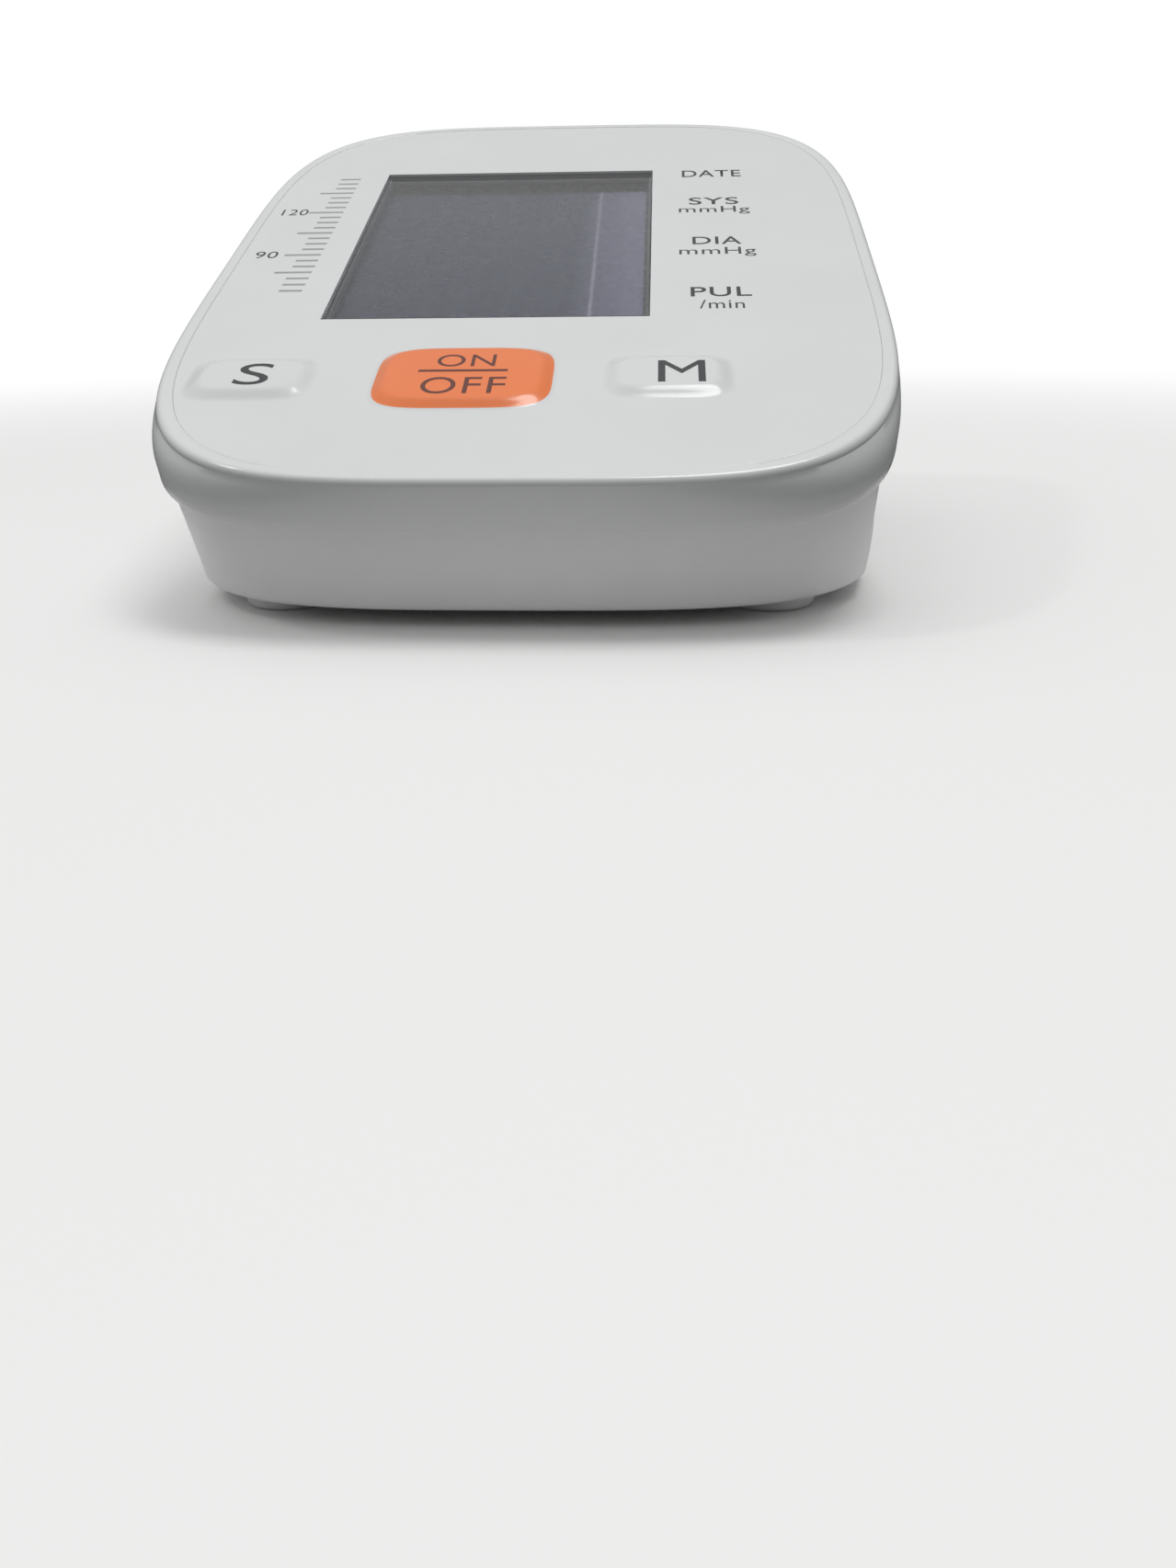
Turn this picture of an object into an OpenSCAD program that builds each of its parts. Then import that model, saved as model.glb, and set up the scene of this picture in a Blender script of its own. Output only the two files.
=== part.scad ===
// Desktop upper-arm blood pressure monitor: a white wedge-shaped housing whose
// sloping face carries a display window and three pads. Inside are the circuit
// board, the air pump, the release valve, the air lines and four AA cells.
// The origin is the middle of the footprint, on the surface it stands on.
// +Z is up and the face slopes down towards -Y.

/* [Sloping face] */
// Width of the face across its rim
face_w = 100; // [98:0.5:106]
// Length of the face along its slope
face_len = 133.8; // [132:0.2:140]
// Slope of the face above the table, in degrees
face_tilt = 22; // [20:0.5:24]
// Height of the middle of the face above the table
face_height = 44.6; // [44:0.2:50]
// Squareness of the face outline, where 2 is an ellipse
face_square = 4.2; // [3.8:0.1:5]

/* [Top cover] */
// Height of the band under the rim, square to the face
band_h = 7; // [6:0.25:9]
// Rounding of the rim's outer edge
rim_round = 0.9; // [0.4:0.1:1.4]
// Width of the rim around the glossy panel
rim_w = 2.1; // [1.8:0.1:3]
// Thickness of the cover's side wall
cover_wall = 2; // [1.6:0.1:2.4]
// Thickness of the cover's plate under the panel
plate_t = 1.8; // [1.5:0.1:2.5]

/* [Glossy panel] */
// Thickness of the panel
panel_t = 1; // [0.6:0.1:1.5]
// How far the panel lies below the rim
panel_drop = 0.1; // [0:0.05:0.4]
// Gap around the panel and around the window
panel_gap = 0.12; // [0.05:0.01:0.3]

/* [Display] */
// Width of the clear window
window_w = 46.7; // [40:0.1:48]
// Length of the clear window along the slope
window_len = 61.3; // [56:0.1:63]
// Middle of the window, from the middle of the face to the right
window_u = -7.1; // [-8:0.1:-5]
// Middle of the window, from the middle of the face up the slope
window_v = 8.9; // [8:0.1:11]
// Thickness of the window's hidden flange
flange_t = 0.8; // [0.5:0.1:1.2]
// Width of the window's hidden flange
flange_w = 1.5; // [1:0.1:2]
// Space between the plate and the display glass
glass_gap = 0.3; // [0.1:0.1:0.6]
// Thickness of the display glass
glass_t = 2; // [1.6:0.1:2.8]
// How far the display glass reaches past the window on each side
glass_border = 2.6; // [2:0.1:3]
// Thickness of the backlight
backlight_t = 3.2; // [2.8:0.1:4]

/* [Pads] */
// Width of the middle pad
power_w = 23.4; // [20:0.1:25]
// Length of the middle pad along the slope
power_len = 17.2; // [14:0.1:18]
// Width of the side pads
side_w = 16.4; // [14:0.1:17]
// Length of the side pads along the slope
side_len = 12.6; // [10:0.1:15]
// Distance from the middle pad to each side pad, as a share of the face's width
pad_spread = 0.283; // [0.26:0.001:0.286]
// Middle of the middle pad, to the right of the face's middle, as a share of the face's width
pad_shift = -0.077; // [-0.08:0.001:-0.06]
// Middle of the pads, up the slope from the face's middle
pad_v = -40.7; // [-42:0.1:-40]
// Height of the pads above the face
pad_rise = 0.9; // [0.4:0.1:1.5]
// Squareness of the pad outlines
pad_square = 4.4; // [3:0.1:6]
// How far a pad goes down when pressed
pad_travel = 0.6; // [0.3:0.05:0.8]
// Gap around each pad
pad_gap = 0.2; // [0.15:0.01:0.4]
// Width of the flange that keeps a pad in
pad_flange = 1; // [0.7:0.1:1.1]

/* [Circuit board] */
// Distance of the board's long edges from the cover's outside
board_side_room = 9; // [8:0.25:10]
// Length of the board along the slope
board_len = 93; // [90:0.5:94]
// Thickness of the board
board_t = 1.6; // [1:0.1:2]
// Side of a pad switch
switch_side = 6; // [5:0.5:7]
// Height of a pad switch
switch_h = 3.2; // [2.6:0.1:3.6]

/* [Lower case] */
// How far the lower case is set in under the cover's band
case_step = 0.8; // [0.4:0.1:1.2]
// Thickness of the floor
floor_t = 2.2; // [2:0.1:2.8]
// Width of the underside's outline
base_w = 96; // [94:0.5:98]
// Length of the underside's outline
base_len = 113; // [111:0.5:116]
// Middle of the underside, behind the origin
base_y = 2; // [1:0.25:3]
// Squareness of the underside's outline
base_square = 3.5; // [3.2:0.1:4.2]
// Rounding of the bottom edge
base_round = 2.6; // [1.5:0.1:3.5]
// Height of the lip that the cover slides over
lip_h = 1.8; // [1.2:0.1:2.5]
// Thickness of the lip
lip_t = 0.95; // [0.8:0.05:1.2]
// Depth of the finger recess in each side
recess_d = 1.1; // [0.5:0.1:1.2]
// Foremost point of the finger recesses
recess_front = -39.5; // [-42:0.5:-36]
// Rearmost point of the finger recesses
recess_back = 41; // [38:0.5:44]

/* [Feet] */
// Height of the feet
foot_h = 2; // [1.5:0.1:3]
// Radius of a foot where it stands
foot_r = 4.2; // [3:0.1:5]
// Distance of the front feet from the middle
front_foot_x = 33.4; // [30:0.1:35]
// Distance of the front feet from the front end of the underside
front_foot_in = 13.1; // [11.5:0.1:16.5]
// Distance of the rear feet from the middle
rear_foot_x = 39; // [38.5:0.1:40]
// Distance of the rear feet from the rear end of the underside
rear_foot_in = 20.1; // [19.7:0.1:21.5]

/* [Battery bay] */
// Radius of a cell
cell_r = 7.1; // [6.9:0.05:7.2]
// Length of a cell with its button
cell_len = 50.5; // [48:0.1:51]
// Distance between neighbouring cells
cell_pitch = 14.8; // [14.6:0.1:15.2]
// Length of a contact spring between its plate and the cell
spring_len = 5; // [4:0.1:6]
// Thickness of the bay's walls
bay_wall = 1.6; // [1.2:0.1:2]
// Distance of the bay's rear wall from the rear end of the underside
bay_rear_room = 7.5; // [7:0.1:9.5]
// Thickness of the battery door
door_t = 1.8; // [1.4:0.1:2]
// Travel of the battery door until its lugs come free
door_travel = 8; // [6:0.5:9]
// Gap around the battery door
door_gap = 0.25; // [0.15:0.05:0.4]

/* [Air system] */
// Radius of the pump's motor
motor_r = 11.5; // [10:0.1:11.8]
// Length of the pump's motor
motor_len = 30; // [26:0.5:31]
// Length of the pump's head
head_len = 20; // [18:0.5:21]
// Distance of the pump's axis from the bay's rear wall
pump_rear_room = 14; // [13.8:0.1:15]
// Radius of the bore in the air socket
socket_bore_r = 2.6; // [2:0.1:3]
// Depth of the bore in the air socket
socket_bore_len = 10; // [8:0.5:11]
// Distance of the air socket in front of the pump's axis
socket_lead = 17.5; // [17.5:0.1:21]
// Height of the air socket
socket_z = 24.6; // [24.2:0.1:26]
// Outer radius of the air tubes
tube_r = 2.7; // [2.4:0.1:2.9]
// Radius of the bore in the air tubes
tube_bore_r = 1.6; // [1.2:0.1:1.8]

/* [Hidden] */

// Colours of the finishes
white_gloss = "#E9EAEB";
white_shell = "#E2E2E3";
clear_grey = "#8E8D97";
orange_pad = "#EC8258";
board_green = "#1F6B46";
dark_part = "#2B2B2E";
bare_metal = "#B9BCC0";
tube_white = "#D8D6CF";
cell_green = "#3C7A5A";

// Smallest overlap that makes two shapes one, and the spare length of a cut
weld = 0.02;
over = 1;
// Points around the housing's outlines and around the pads
ring_n = 96;
pad_ring_n = 40;
$fn = 48;

// Where the face's middle lies, so that the whole housing is centred front to back
front_reach = (face_len/2 - rim_round)*cos(face_tilt) + rim_round*(1 - sin(face_tilt));
back_reach = face_len/2*cos(face_tilt) + band_h*sin(face_tilt);
face_y = (front_reach - back_reach)/2;

// Levels under the face, measured square to it, with 0 on the rim
panel_top = -panel_drop;
panel_bottom = panel_top - panel_t;
plate_bottom = panel_bottom - plate_t;
glass_top = plate_bottom - glass_gap;
glass_bottom = glass_top - glass_t;
board_top = glass_bottom - backlight_t;
board_bottom = board_top - board_t;

// Places that follow the underside's rear and front ends and the face's width
rear_end = base_y + base_len/2;
front_foot_y = base_y - base_len/2 + front_foot_in;
rear_foot_y = rear_end - rear_foot_in;
bay_back = rear_end - bay_rear_room;
pump_y = bay_back - pump_rear_room;
socket_y = pump_y - socket_lead;
pad_pitch = pad_spread*face_w;
pad_u = pad_shift*face_w;
board_w = face_w - 2*board_side_room;

// Display glass and backlight
glass_w = window_w + 2*glass_border;
glass_len = window_len + 2*glass_border;
backlight_rim = 1.2;

// Circuit board, set against the pads at its lower end
board_u = -1;
board_margin = 3.3;
board_v0 = pad_v - switch_side/2 - board_margin;
board_corner = 3;
board_screw_inset = 4;
board_screw_up = 19;
board_screw_end = 5;
board_screw_vs = [pad_v + board_screw_up, board_v0 + board_len - board_screw_end];
board_boss_r = 2.6;
board_screw_r = 1.1;
board_screw_len = 5;
board_head_r = 2.1;
board_head_h = 1.3;
chip_side = 14;
chip_t = 1.6;
buzzer_r = 6;
buzzer_h = 5;
buzzer_up = 3;
buzzer_hole_r = 1;
buzzer_hole_d = 1.5;

// Pads, their stems and their switches
pad_flange_t = 0.8;
pad_rest_gap = 0.05;
pad_flange_top = plate_bottom - pad_rest_gap;
pad_flange_bottom = pad_flange_top - pad_flange_t;
pad_stem_r = 2.4;
plunger_r = 1.7;
plunger_fit = 0.08;
switch_top = board_top + switch_h;
plunger_top = switch_top + pad_travel + 0.2;
plunger_bottom = board_top + pad_travel + 0.2;
pad_crown = 0.72;
pad_crown_steps = 5;
pad_us = [pad_u - pad_pitch, pad_u, pad_u + pad_pitch];

// Lower case
cover_fit = 0.15;
lip_out = cover_wall + cover_fit;
case_in = lip_out + lip_t;
base_z = foot_h;
floor_top = base_z + floor_t;
foot_flare = 0.9;
recess_foot = 9.5;
recess_low = 6;
recess_top = 21;

// Case screws, a pair beside the display and a pair at the back
post_x = 40;
post_ys = [-8, 29];
post_splits = [20, 36];
post_r = 3.6;
post_bore_r = 1.2;
post_gap = 0.1;
case_screw_r = 1.5;
case_screw_len = 10;
case_head_r = 2.8;
case_head_h = 2;
case_seat_t = 2.5;
screw_fit = 0.1;

// Battery bay
bay_in_w = 4*cell_pitch + 0.4;
bay_in_len = cell_len + spring_len + 1.2;
bay_front = bay_back - bay_in_len;
contact_t = 0.4;
cell_z = floor_top + cell_r + 0.1;
bay_roof = cell_z + cell_r + 0.4;
bay_top = bay_roof + bay_wall;
cell_button_r = 2.7;
cell_button_h = 1.4;
cell_xs = [for (i = [0:3]) (i - 1.5)*cell_pitch];

// Battery door and its lugs
door_lead = 3;
lug_out = 1;
door_w = bay_in_w + 2*bay_wall + 2*lug_out;
door_front = bay_front - bay_wall - door_lead;
lug_len = 6;
lug_t = 0.7;
lug_z = base_z + door_t - lug_t;
lug_inset = 4;
lug_pitch = 36;
lug_ys = [door_front + lug_inset, door_front + lug_inset + lug_pitch];
sill_h = 1.4;
sill_w = 2;
grip_n = 6;
grip_w = 16;
grip_pitch = 2.4;
grip_d = 0.5;
grip_end = 4;

// Pump, lying along X on saddles over the battery bay
saddle_h = 1.2;
saddle_gap = 0.05;
pump_z = bay_top + saddle_h + motor_r;
motor_x = -2;
head_r = motor_r;
head_end = motor_x - head_len;
head_wall = 3.6;
shaft_r = 1;
shaft_fit = 0.1;
shaft_hole = 6;
shaft_in = 5.5;
crank_r = 5;
crank_t = 4;
crank_gap = 1;
crank_pin_r = 1.4;
crank_pin_out = 2.6;
crank_pin_len = 4;
saddle_t = 3;
saddle_inset = 6;
saddle_xs = [motor_x + saddle_inset, motor_x + motor_len - saddle_inset];
strap_t = 1.2;
strap_w = 8;
strap_x = saddle_xs[1];
strap_gap = 0.1;
strap_ear = 4.6;
strap_screw_r = 1.2;
strap_screw_len = 5;
strap_head_r = 2.2;
strap_head_h = 1.4;
strap_post_r = 2.6;

// Nozzles and tubes
nozzle_r = tube_bore_r - 0.05;
nozzle_bore_r = 0.9;
nozzle_len = 5;
tube_end_gap = 0.4;
bend_r = 5.5;

// Air manifold, standing on the battery bay
manifold_w = 8.5;
manifold_d = 8;
manifold_x = head_end - nozzle_len + bend_r + 3.5;
manifold_left = manifold_x - manifold_w/2;
manifold_right = manifold_x + manifold_w/2;
manifold_top = pump_z + 4;
seat_gap = 0.1;

// Release valve
valve_len = 16;
valve_side = 12;
valve_z = (socket_z + pump_z)/2;
valve_gap = 0.6;
valve_left = manifold_right + 2*nozzle_len + valve_gap;
valve_low = valve_z - valve_side/2;
valve_cap_r = 3;
valve_cap_t = 2.5;
cradle_wall = 1.4;
cradle_up = 4;
cradle_t = 2;

// Pressure sensor under the board, where the tube from the manifold's front turns up to it
sensor_side = 8;
sensor_h = 4;
sensor_nozzle_len = 3.2;
sensor_z = bay_top + tube_r + 1;
sensor_bend_y = socket_y - manifold_d/2 - nozzle_len - tube_end_gap;
sensor_turn_y = sensor_bend_y - bend_r*cos(face_tilt) - face_y;
sensor_turn_z = sensor_z + bend_r*(1 - sin(face_tilt)) - face_height;
sensor_v = sensor_turn_y*cos(face_tilt) + sensor_turn_z*sin(face_tilt);
sensor_low = sensor_turn_z*cos(face_tilt) - sensor_turn_y*sin(face_tilt);

// Air socket in the left wall, and the power socket in the right wall
wall_x = side_x(socket_y, socket_z) - recess_d;
socket_ring_r = 8.4;
socket_rim_t = 1.6;
socket_out = 0.5;
socket_groove_r = 6.6;
socket_nose_r = 4.6;
socket_barrel_r = 5.2;
socket_face_x = wall_x + socket_out;
socket_end = socket_face_x - socket_bore_len - 1.6;
socket_fit = 0.1;
collar_wall = 1.6;
jack_r = 4.6;
jack_bore_r = 2.75;
jack_pin_r = 1.05;
jack_len = 12;
jack_bore_len = 9.5;
jack_rim_r = 5.6;
jack_rim_t = 1.2;

// ---------------------------------------------------------------- helpers

// A point of a rounded outline between an ellipse and a rectangle
function super_point(a, b, n, t) =
    [a*sign(cos(t))*pow(abs(cos(t)), 2/n), b*sign(sin(t))*pow(abs(sin(t)), 2/n)];

// The whole outline, counter-clockwise
function outline(w, len, n, count) =
    [for (i = [0:count - 1]) super_point(w/2, len/2, n, 360*i/count)];

// A ring of points at the face's outline, drawn in by inset, at a level under the rim
function face_ring(inset, level) =
    [for (p = outline(face_w - 2*inset, face_len - 2*inset, face_square, ring_n)) [p.x, p.y, level]];

// A point of the face's own frame, in the housing's frame
function off_face(p) = [p.x,
    face_y + p.y*cos(face_tilt) - p.z*sin(face_tilt),
    face_height + p.y*sin(face_tilt) + p.z*cos(face_tilt)];

// A ring of the lower case's top edge, at a level under the rim
function case_top_ring(inset, level) = [for (p = face_ring(inset, level)) off_face(p)];

// A ring of the underside's outline, drawn in by inset, at height z
function base_ring(inset, z) =
    [for (p = outline(base_w - 2*inset, base_len - 2*inset, base_square, ring_n)) [p.x, p.y + base_y, z]];

// A ring between the underside and the top edge, at share f of the way up
function wall_ring(inset, f) =
    let (low = base_ring(inset, base_z), high = case_top_ring(case_step + inset, -band_h))
    [for (i = [0:ring_n - 1]) low[i] + f*(high[i] - low[i])];

// A closed solid through a list of rings of equal length
module loft(rings) {
    n = len(rings[0]);
    last = (len(rings) - 1)*n;
    polyhedron(
        points = [for (r = rings) each r],
        faces = concat(
            [[for (i = [0:n - 1]) i]],
            [[for (i = [n - 1:-1:0]) last + i]],
            [for (j = [0:len(rings) - 2], i = [0:n - 1])
                let (a = j*n + i, b = j*n + (i + 1)%n) [a, a + n, b + n]],
            [for (j = [0:len(rings) - 2], i = [0:n - 1])
                let (a = j*n + i, b = j*n + (i + 1)%n) [a, b + n, b]]),
        convexity = 8);
}

// Moves what is drawn square to the face onto the face
module on_face() {
    translate([0, face_y, face_height]) rotate([face_tilt, 0, 0]) children();
}

// A block in the face's frame between two levels
module face_block(u, v, w, len, low, high) {
    translate([u - w/2, v - len/2, low]) cube([w, len, high - low]);
}

// A pad-shaped prism in the face's frame
module pad_prism(u, w, len, grow, low, high) {
    translate([u, pad_v, low]) linear_extrude(high - low)
        polygon(outline(w + 2*grow, len + 2*grow, pad_square, pad_ring_n));
}

// A rod along X
module x_rod(x0, x1, r) {
    translate([x0, 0, 0]) rotate([0, 90, 0]) cylinder(h = x1 - x0, r = r);
}

// Cross recess of a screw head, cut upwards from its face at z = 0
module cross_recess(head_r, depth) {
    for (a = [0, 90]) rotate(a) translate([-0.6*head_r, -0.15*head_r, -over])
        cube([1.2*head_r, 0.3*head_r, depth + over]);
}

// Pad-shaped prisms at the three pads' places
module each_pad(grow, low, high) {
    pad_prism(pad_us[0], side_w, side_len, grow, low, high);
    pad_prism(pad_us[1], power_w, power_len, grow, low, high);
    pad_prism(pad_us[2], side_w, side_len, grow, low, high);
}

// Height of a level under the face, above a place on the table
function level_z(y, level) = face_height + (sin(face_tilt)*(y - face_y) + level)/cos(face_tilt);

// Half the width of a rounded outline at a distance from its middle
function half_width(w, len, n, d) = w/2*pow(1 - pow(abs(d)/(len/2), n), 1/n);

// How far out the lower case's side wall lies at a place and a height
function side_x(y, z) = let(
        low = half_width(base_w, base_len, base_square, y - base_y),
        up = (y - face_y - band_h*sin(face_tilt))/cos(face_tilt),
        high = half_width(face_w - 2*case_step, face_len - 2*case_step, face_square, up))
    low + (high - low)*(z - base_z)/(level_z(y, -band_h) - base_z);

// ---------------------------------------------------------------- top cover

// Rim, band and plate in one loft, from the ceiling round the skirt to the panel's seat
module cover_shell() {
    loft([
        face_ring(cover_wall, plate_bottom),
        face_ring(cover_wall, -band_h),
        face_ring(0, -band_h),
        face_ring(0, -rim_round),
        for (a = [30, 60, 90]) face_ring(rim_round*(1 - cos(a)), -rim_round*(1 - sin(a))),
        face_ring(rim_w, 0),
        face_ring(rim_w, panel_bottom)]);
}

// Posts that take the case screws, cut off under the plate
module cover_post(x, y, split) {
    top = level_z(y, plate_bottom);
    difference() {
        translate([x, y, split + post_gap]) cylinder(h = top - split, r = post_r);
        translate([x, y, split - over]) cylinder(h = case_screw_len - case_seat_t + over + 2, r = post_bore_r);
        on_face() face_block(0, 0, 2*face_w, 2*face_len, plate_bottom + weld, face_height);
    }
}

module top_cover() {
    color(white_gloss) {
        on_face() difference() {
            union() {
                cover_shell();
                for (u = [-1, 1], v = board_screw_vs)
                    translate([board_u + u*(board_w/2 - board_screw_inset), v, board_top])
                        cylinder(h = plate_bottom - board_top + weld, r = board_boss_r);
            }
            face_block(window_u, window_v, window_w - 1, window_len - 1, plate_bottom - over, panel_bottom + over);
            face_block(window_u, window_v, window_w + 2*(flange_w + panel_gap),
                window_len + 2*(flange_w + panel_gap), panel_bottom - flange_t - 0.05, panel_bottom + over);
            each_pad(pad_gap, plate_bottom - over, panel_bottom + over);
            for (u = [-1, 1], v = board_screw_vs)
                translate([board_u + u*(board_w/2 - board_screw_inset), v, board_top - over])
                    cylinder(h = board_screw_len - board_t + over, r = board_screw_r - 0.1);
        }
        for (i = [0, 1], s = [-1, 1]) cover_post(s*post_x, post_ys[i], post_splits[i]);
    }
}

// ---------------------------------------------------------------- face parts

// Glossy sheet inlaid in the rim, with the window and the pads cut out
module face_panel() {
    color(white_gloss) on_face() difference() {
        translate([0, 0, panel_bottom]) linear_extrude(panel_t)
            polygon(outline(face_w - 2*(rim_w + panel_gap), face_len - 2*(rim_w + panel_gap), face_square, ring_n));
        face_block(window_u, window_v, window_w + 2*panel_gap, window_len + 2*panel_gap,
            panel_bottom - over, panel_top + over);
        each_pad(pad_gap, panel_bottom - over, panel_top + over);
    }
}

// Clear window, flush with the panel, on a flange that lies in the plate
module display_window() {
    color(clear_grey, 0.5) on_face() {
        face_block(window_u, window_v, window_w, window_len, panel_bottom - weld, panel_top);
        face_block(window_u, window_v, window_w + 2*flange_w, window_len + 2*flange_w,
            panel_bottom - flange_t, panel_bottom);
    }
}

// Liquid crystal cell: two sheets of glass, the lower one longer for its contacts
module display_glass() {
    ledge = 2.5;
    color(clear_grey) on_face() {
        face_block(window_u, window_v, glass_w, glass_len, glass_bottom + glass_t/2, glass_top);
        face_block(window_u, window_v - ledge/2, glass_w, glass_len + ledge, glass_bottom, glass_bottom + glass_t/2);
    }
}

// Light guide with a raised edge around its lit field
module backlight() {
    dish = 0.4;
    color("white") on_face() difference() {
        face_block(window_u, window_v, glass_w + 2*backlight_rim, glass_len, board_top, glass_bottom);
        face_block(window_u, window_v, window_w, window_len, glass_bottom - dish, glass_bottom + over);
    }
}

// A pad: a soft crowned cap on a skirt, with a flange under the plate and a stem
module pad(u, w, len) {
    crown = pad_crown*len/2;
    on_face() translate([u, pad_v, 0]) union() {
        loft([
            pad_ring(w, len, -pad_flange, pad_flange_bottom),
            pad_ring(w, len, -pad_flange, pad_flange_top),
            pad_ring(w, len, 0, pad_flange_top),
            for (i = [0:pad_crown_steps])
                pad_ring(w, len, crown*(1 - cos(90*i/pad_crown_steps)), pad_rise*sin(90*i/pad_crown_steps))]);
        translate([0, 0, plunger_top]) cylinder(h = pad_flange_bottom - plunger_top + weld, r = pad_stem_r);
    }
}

function pad_ring(w, len, inset, level) =
    [for (p = outline(w - 2*inset, len - 2*inset, pad_square, pad_ring_n)) [p.x, p.y, level]];

module pad_s() { color(white_gloss) pad(pad_us[0], side_w, side_len); }

module pad_power() { color(orange_pad) pad(pad_us[1], power_w, power_len); }

module pad_m() { color(white_gloss) pad(pad_us[2], side_w, side_len); }

// Plunger of a pad switch, which the pad's stem rests on
module plunger(u) {
    color(dark_part) on_face() translate([u, pad_v, plunger_bottom])
        cylinder(h = plunger_top - plunger_bottom, r = plunger_r);
}

module plunger_s() { plunger(pad_us[0]); }

module plunger_power() { plunger(pad_us[1]); }

module plunger_m() { plunger(pad_us[2]); }

// The three switch bodies on the board
module pad_switches() {
    color(bare_metal) on_face() for (u = pad_us) difference() {
        face_block(u, pad_v, switch_side, switch_side, board_top, switch_top);
        translate([u, pad_v, board_top + 0.2]) cylinder(h = switch_h + over, r = plunger_r + plunger_fit);
    }
}

// ---------------------------------------------------------------- circuit board

// A rectangle with its corners cut off
function cut_corners(a, b, c) = [[a, c - b], [a, b - c], [a - c, b], [c - a, b],
    [-a, b - c], [-a, c - b], [c - a, -b], [a - c, -b]];

module circuit_board() {
    color(board_green) difference() {
        on_face() difference() {
            translate([board_u, board_v0 + board_len/2, board_bottom]) linear_extrude(board_t)
                polygon(cut_corners(board_w/2, board_len/2, board_corner));
            for (u = [-1, 1], v = board_screw_vs)
                translate([board_u + u*(board_w/2 - board_screw_inset), v, board_bottom - over])
                    cylinder(h = board_t + 2*over, r = board_screw_r + screw_fit);
        }
        for (s = [-1, 1], y = post_ys) translate([s*post_x, y, 0])
            cylinder(h = 2*face_height, r = post_r + 1);
    }
}

// Screws that hold the board to the cover's bosses, heads under the board
module board_screws() {
    color(bare_metal) on_face() for (u = [-1, 1], v = board_screw_vs)
        translate([board_u + u*(board_w/2 - board_screw_inset), v, board_bottom]) difference() {
            union() {
                translate([0, 0, -board_head_h]) cylinder(h = board_head_h, r = board_head_r);
                cylinder(h = board_screw_len - 0.6, r = board_screw_r - 0.1 - weld);
            }
            translate([0, 0, -board_head_h]) cross_recess(board_head_r, board_head_h/2);
        }
}

module controller_chip() {
    color(dark_part) on_face()
        face_block(board_u, window_v, chip_side, chip_side, board_bottom - chip_t, board_bottom);
}

// Round sounder with its sound hole
module buzzer() {
    color(dark_part) on_face() translate([pad_u + pad_pitch/2, pad_v + buzzer_up, board_bottom - buzzer_h])
        difference() {
            cylinder(h = buzzer_h, r = buzzer_r);
            translate([0, 0, -over]) cylinder(h = over + buzzer_hole_d, r = buzzer_hole_r);
        }
}

module pressure_sensor() {
    color(dark_part) on_face() translate([manifold_x, sensor_v, board_bottom]) difference() {
        union() {
            translate([-sensor_side/2, -sensor_side/2, -sensor_h]) cube([sensor_side, sensor_side, sensor_h]);
            translate([0, 0, -sensor_h - sensor_nozzle_len])
                cylinder(h = sensor_nozzle_len + weld, r = nozzle_r);
        }
        translate([0, 0, -sensor_h - sensor_nozzle_len - over])
            cylinder(h = sensor_nozzle_len + over, r = nozzle_bore_r);
    }
}

// ---------------------------------------------------------------- lower case

// The lower case's outer form, drawn in by inset, with extra height above its top edge
// and extra depth below its underside
module case_form(inset, rise, drop) {
    round_in = base_round*(1 - sin(45));
    f = base_round/(level_z(0, -band_h) - base_z);
    loft([
        base_ring(inset + base_round, base_z - drop),
        base_ring(inset + base_round, base_z),
        base_ring(inset + round_in, base_z + round_in),
        wall_ring(inset, f),
        case_top_ring(case_step + inset, -band_h),
        case_top_ring(case_step + inset, -band_h + rise)]);
}

// Floor, wall and lip in one loft, from the underside up, over the lip and down inside
module case_shell() {
    round_in = base_round*(1 - sin(45));
    f = base_round/(level_z(0, -band_h) - base_z);
    loft([
        base_ring(base_round, base_z),
        base_ring(round_in, base_z + round_in),
        wall_ring(0, f),
        case_top_ring(case_step, -band_h),
        case_top_ring(lip_out, -band_h),
        case_top_ring(lip_out, -band_h + lip_h),
        case_top_ring(case_in, -band_h + lip_h),
        case_top_ring(case_in, -band_h),
        base_ring(case_in - case_step + base_round/2, floor_top)]);
}

// Outline of a finger recess from the side, with a bowed front edge and a bowed rear edge
module recess_outline() {
    steps = 6;
    front = [for (i = [0:steps]) let (k = i/steps)
        [recess_front + recess_foot*(1 - k*k), recess_low + k*(recess_top - recess_low)]];
    back_top = level_z(recess_back, -band_h);
    back = [for (i = [steps:-1:0]) let (k = i/steps)
        [recess_back - recess_foot*(1 - k*k), recess_low + k*(back_top - recess_low)]];
    polygon(concat(
        [[recess_front + recess_foot, 0]], front,
        [[recess_front, face_height], [recess_back, 2*face_height]], back,
        [[recess_back - recess_foot, 0]]));
}

module finger_recess(side) {
    difference() {
        multmatrix([[0, 0, side, 0], [1, 0, 0, 0], [0, 1, 0, 0], [0, 0, 0, 1]])
            translate([0, 0, base_w/4]) linear_extrude(base_w/2) recess_outline();
        case_form(recess_d, band_h, base_z + over);
    }
}

module case_post(x, y, split) {
    translate([x, y, floor_top - weld]) cylinder(h = split - floor_top + weld, r = post_r);
}

// Counterbore and clearance hole of a case screw, from below
module case_screw_hole(x, y, split) {
    translate([x, y, -over]) cylinder(h = split - case_seat_t + over, r = case_head_r + screw_fit);
    translate([x, y, 0]) cylinder(h = split + over, r = case_screw_r + screw_fit);
}

// Walls and roof of the battery bay, standing in the case
module bay_box() {
    translate([-bay_in_w/2 - bay_wall, bay_front - bay_wall, floor_top - weld])
        cube([bay_in_w + 2*bay_wall, bay_in_len + 2*bay_wall, bay_top - floor_top + weld]);
}

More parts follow.
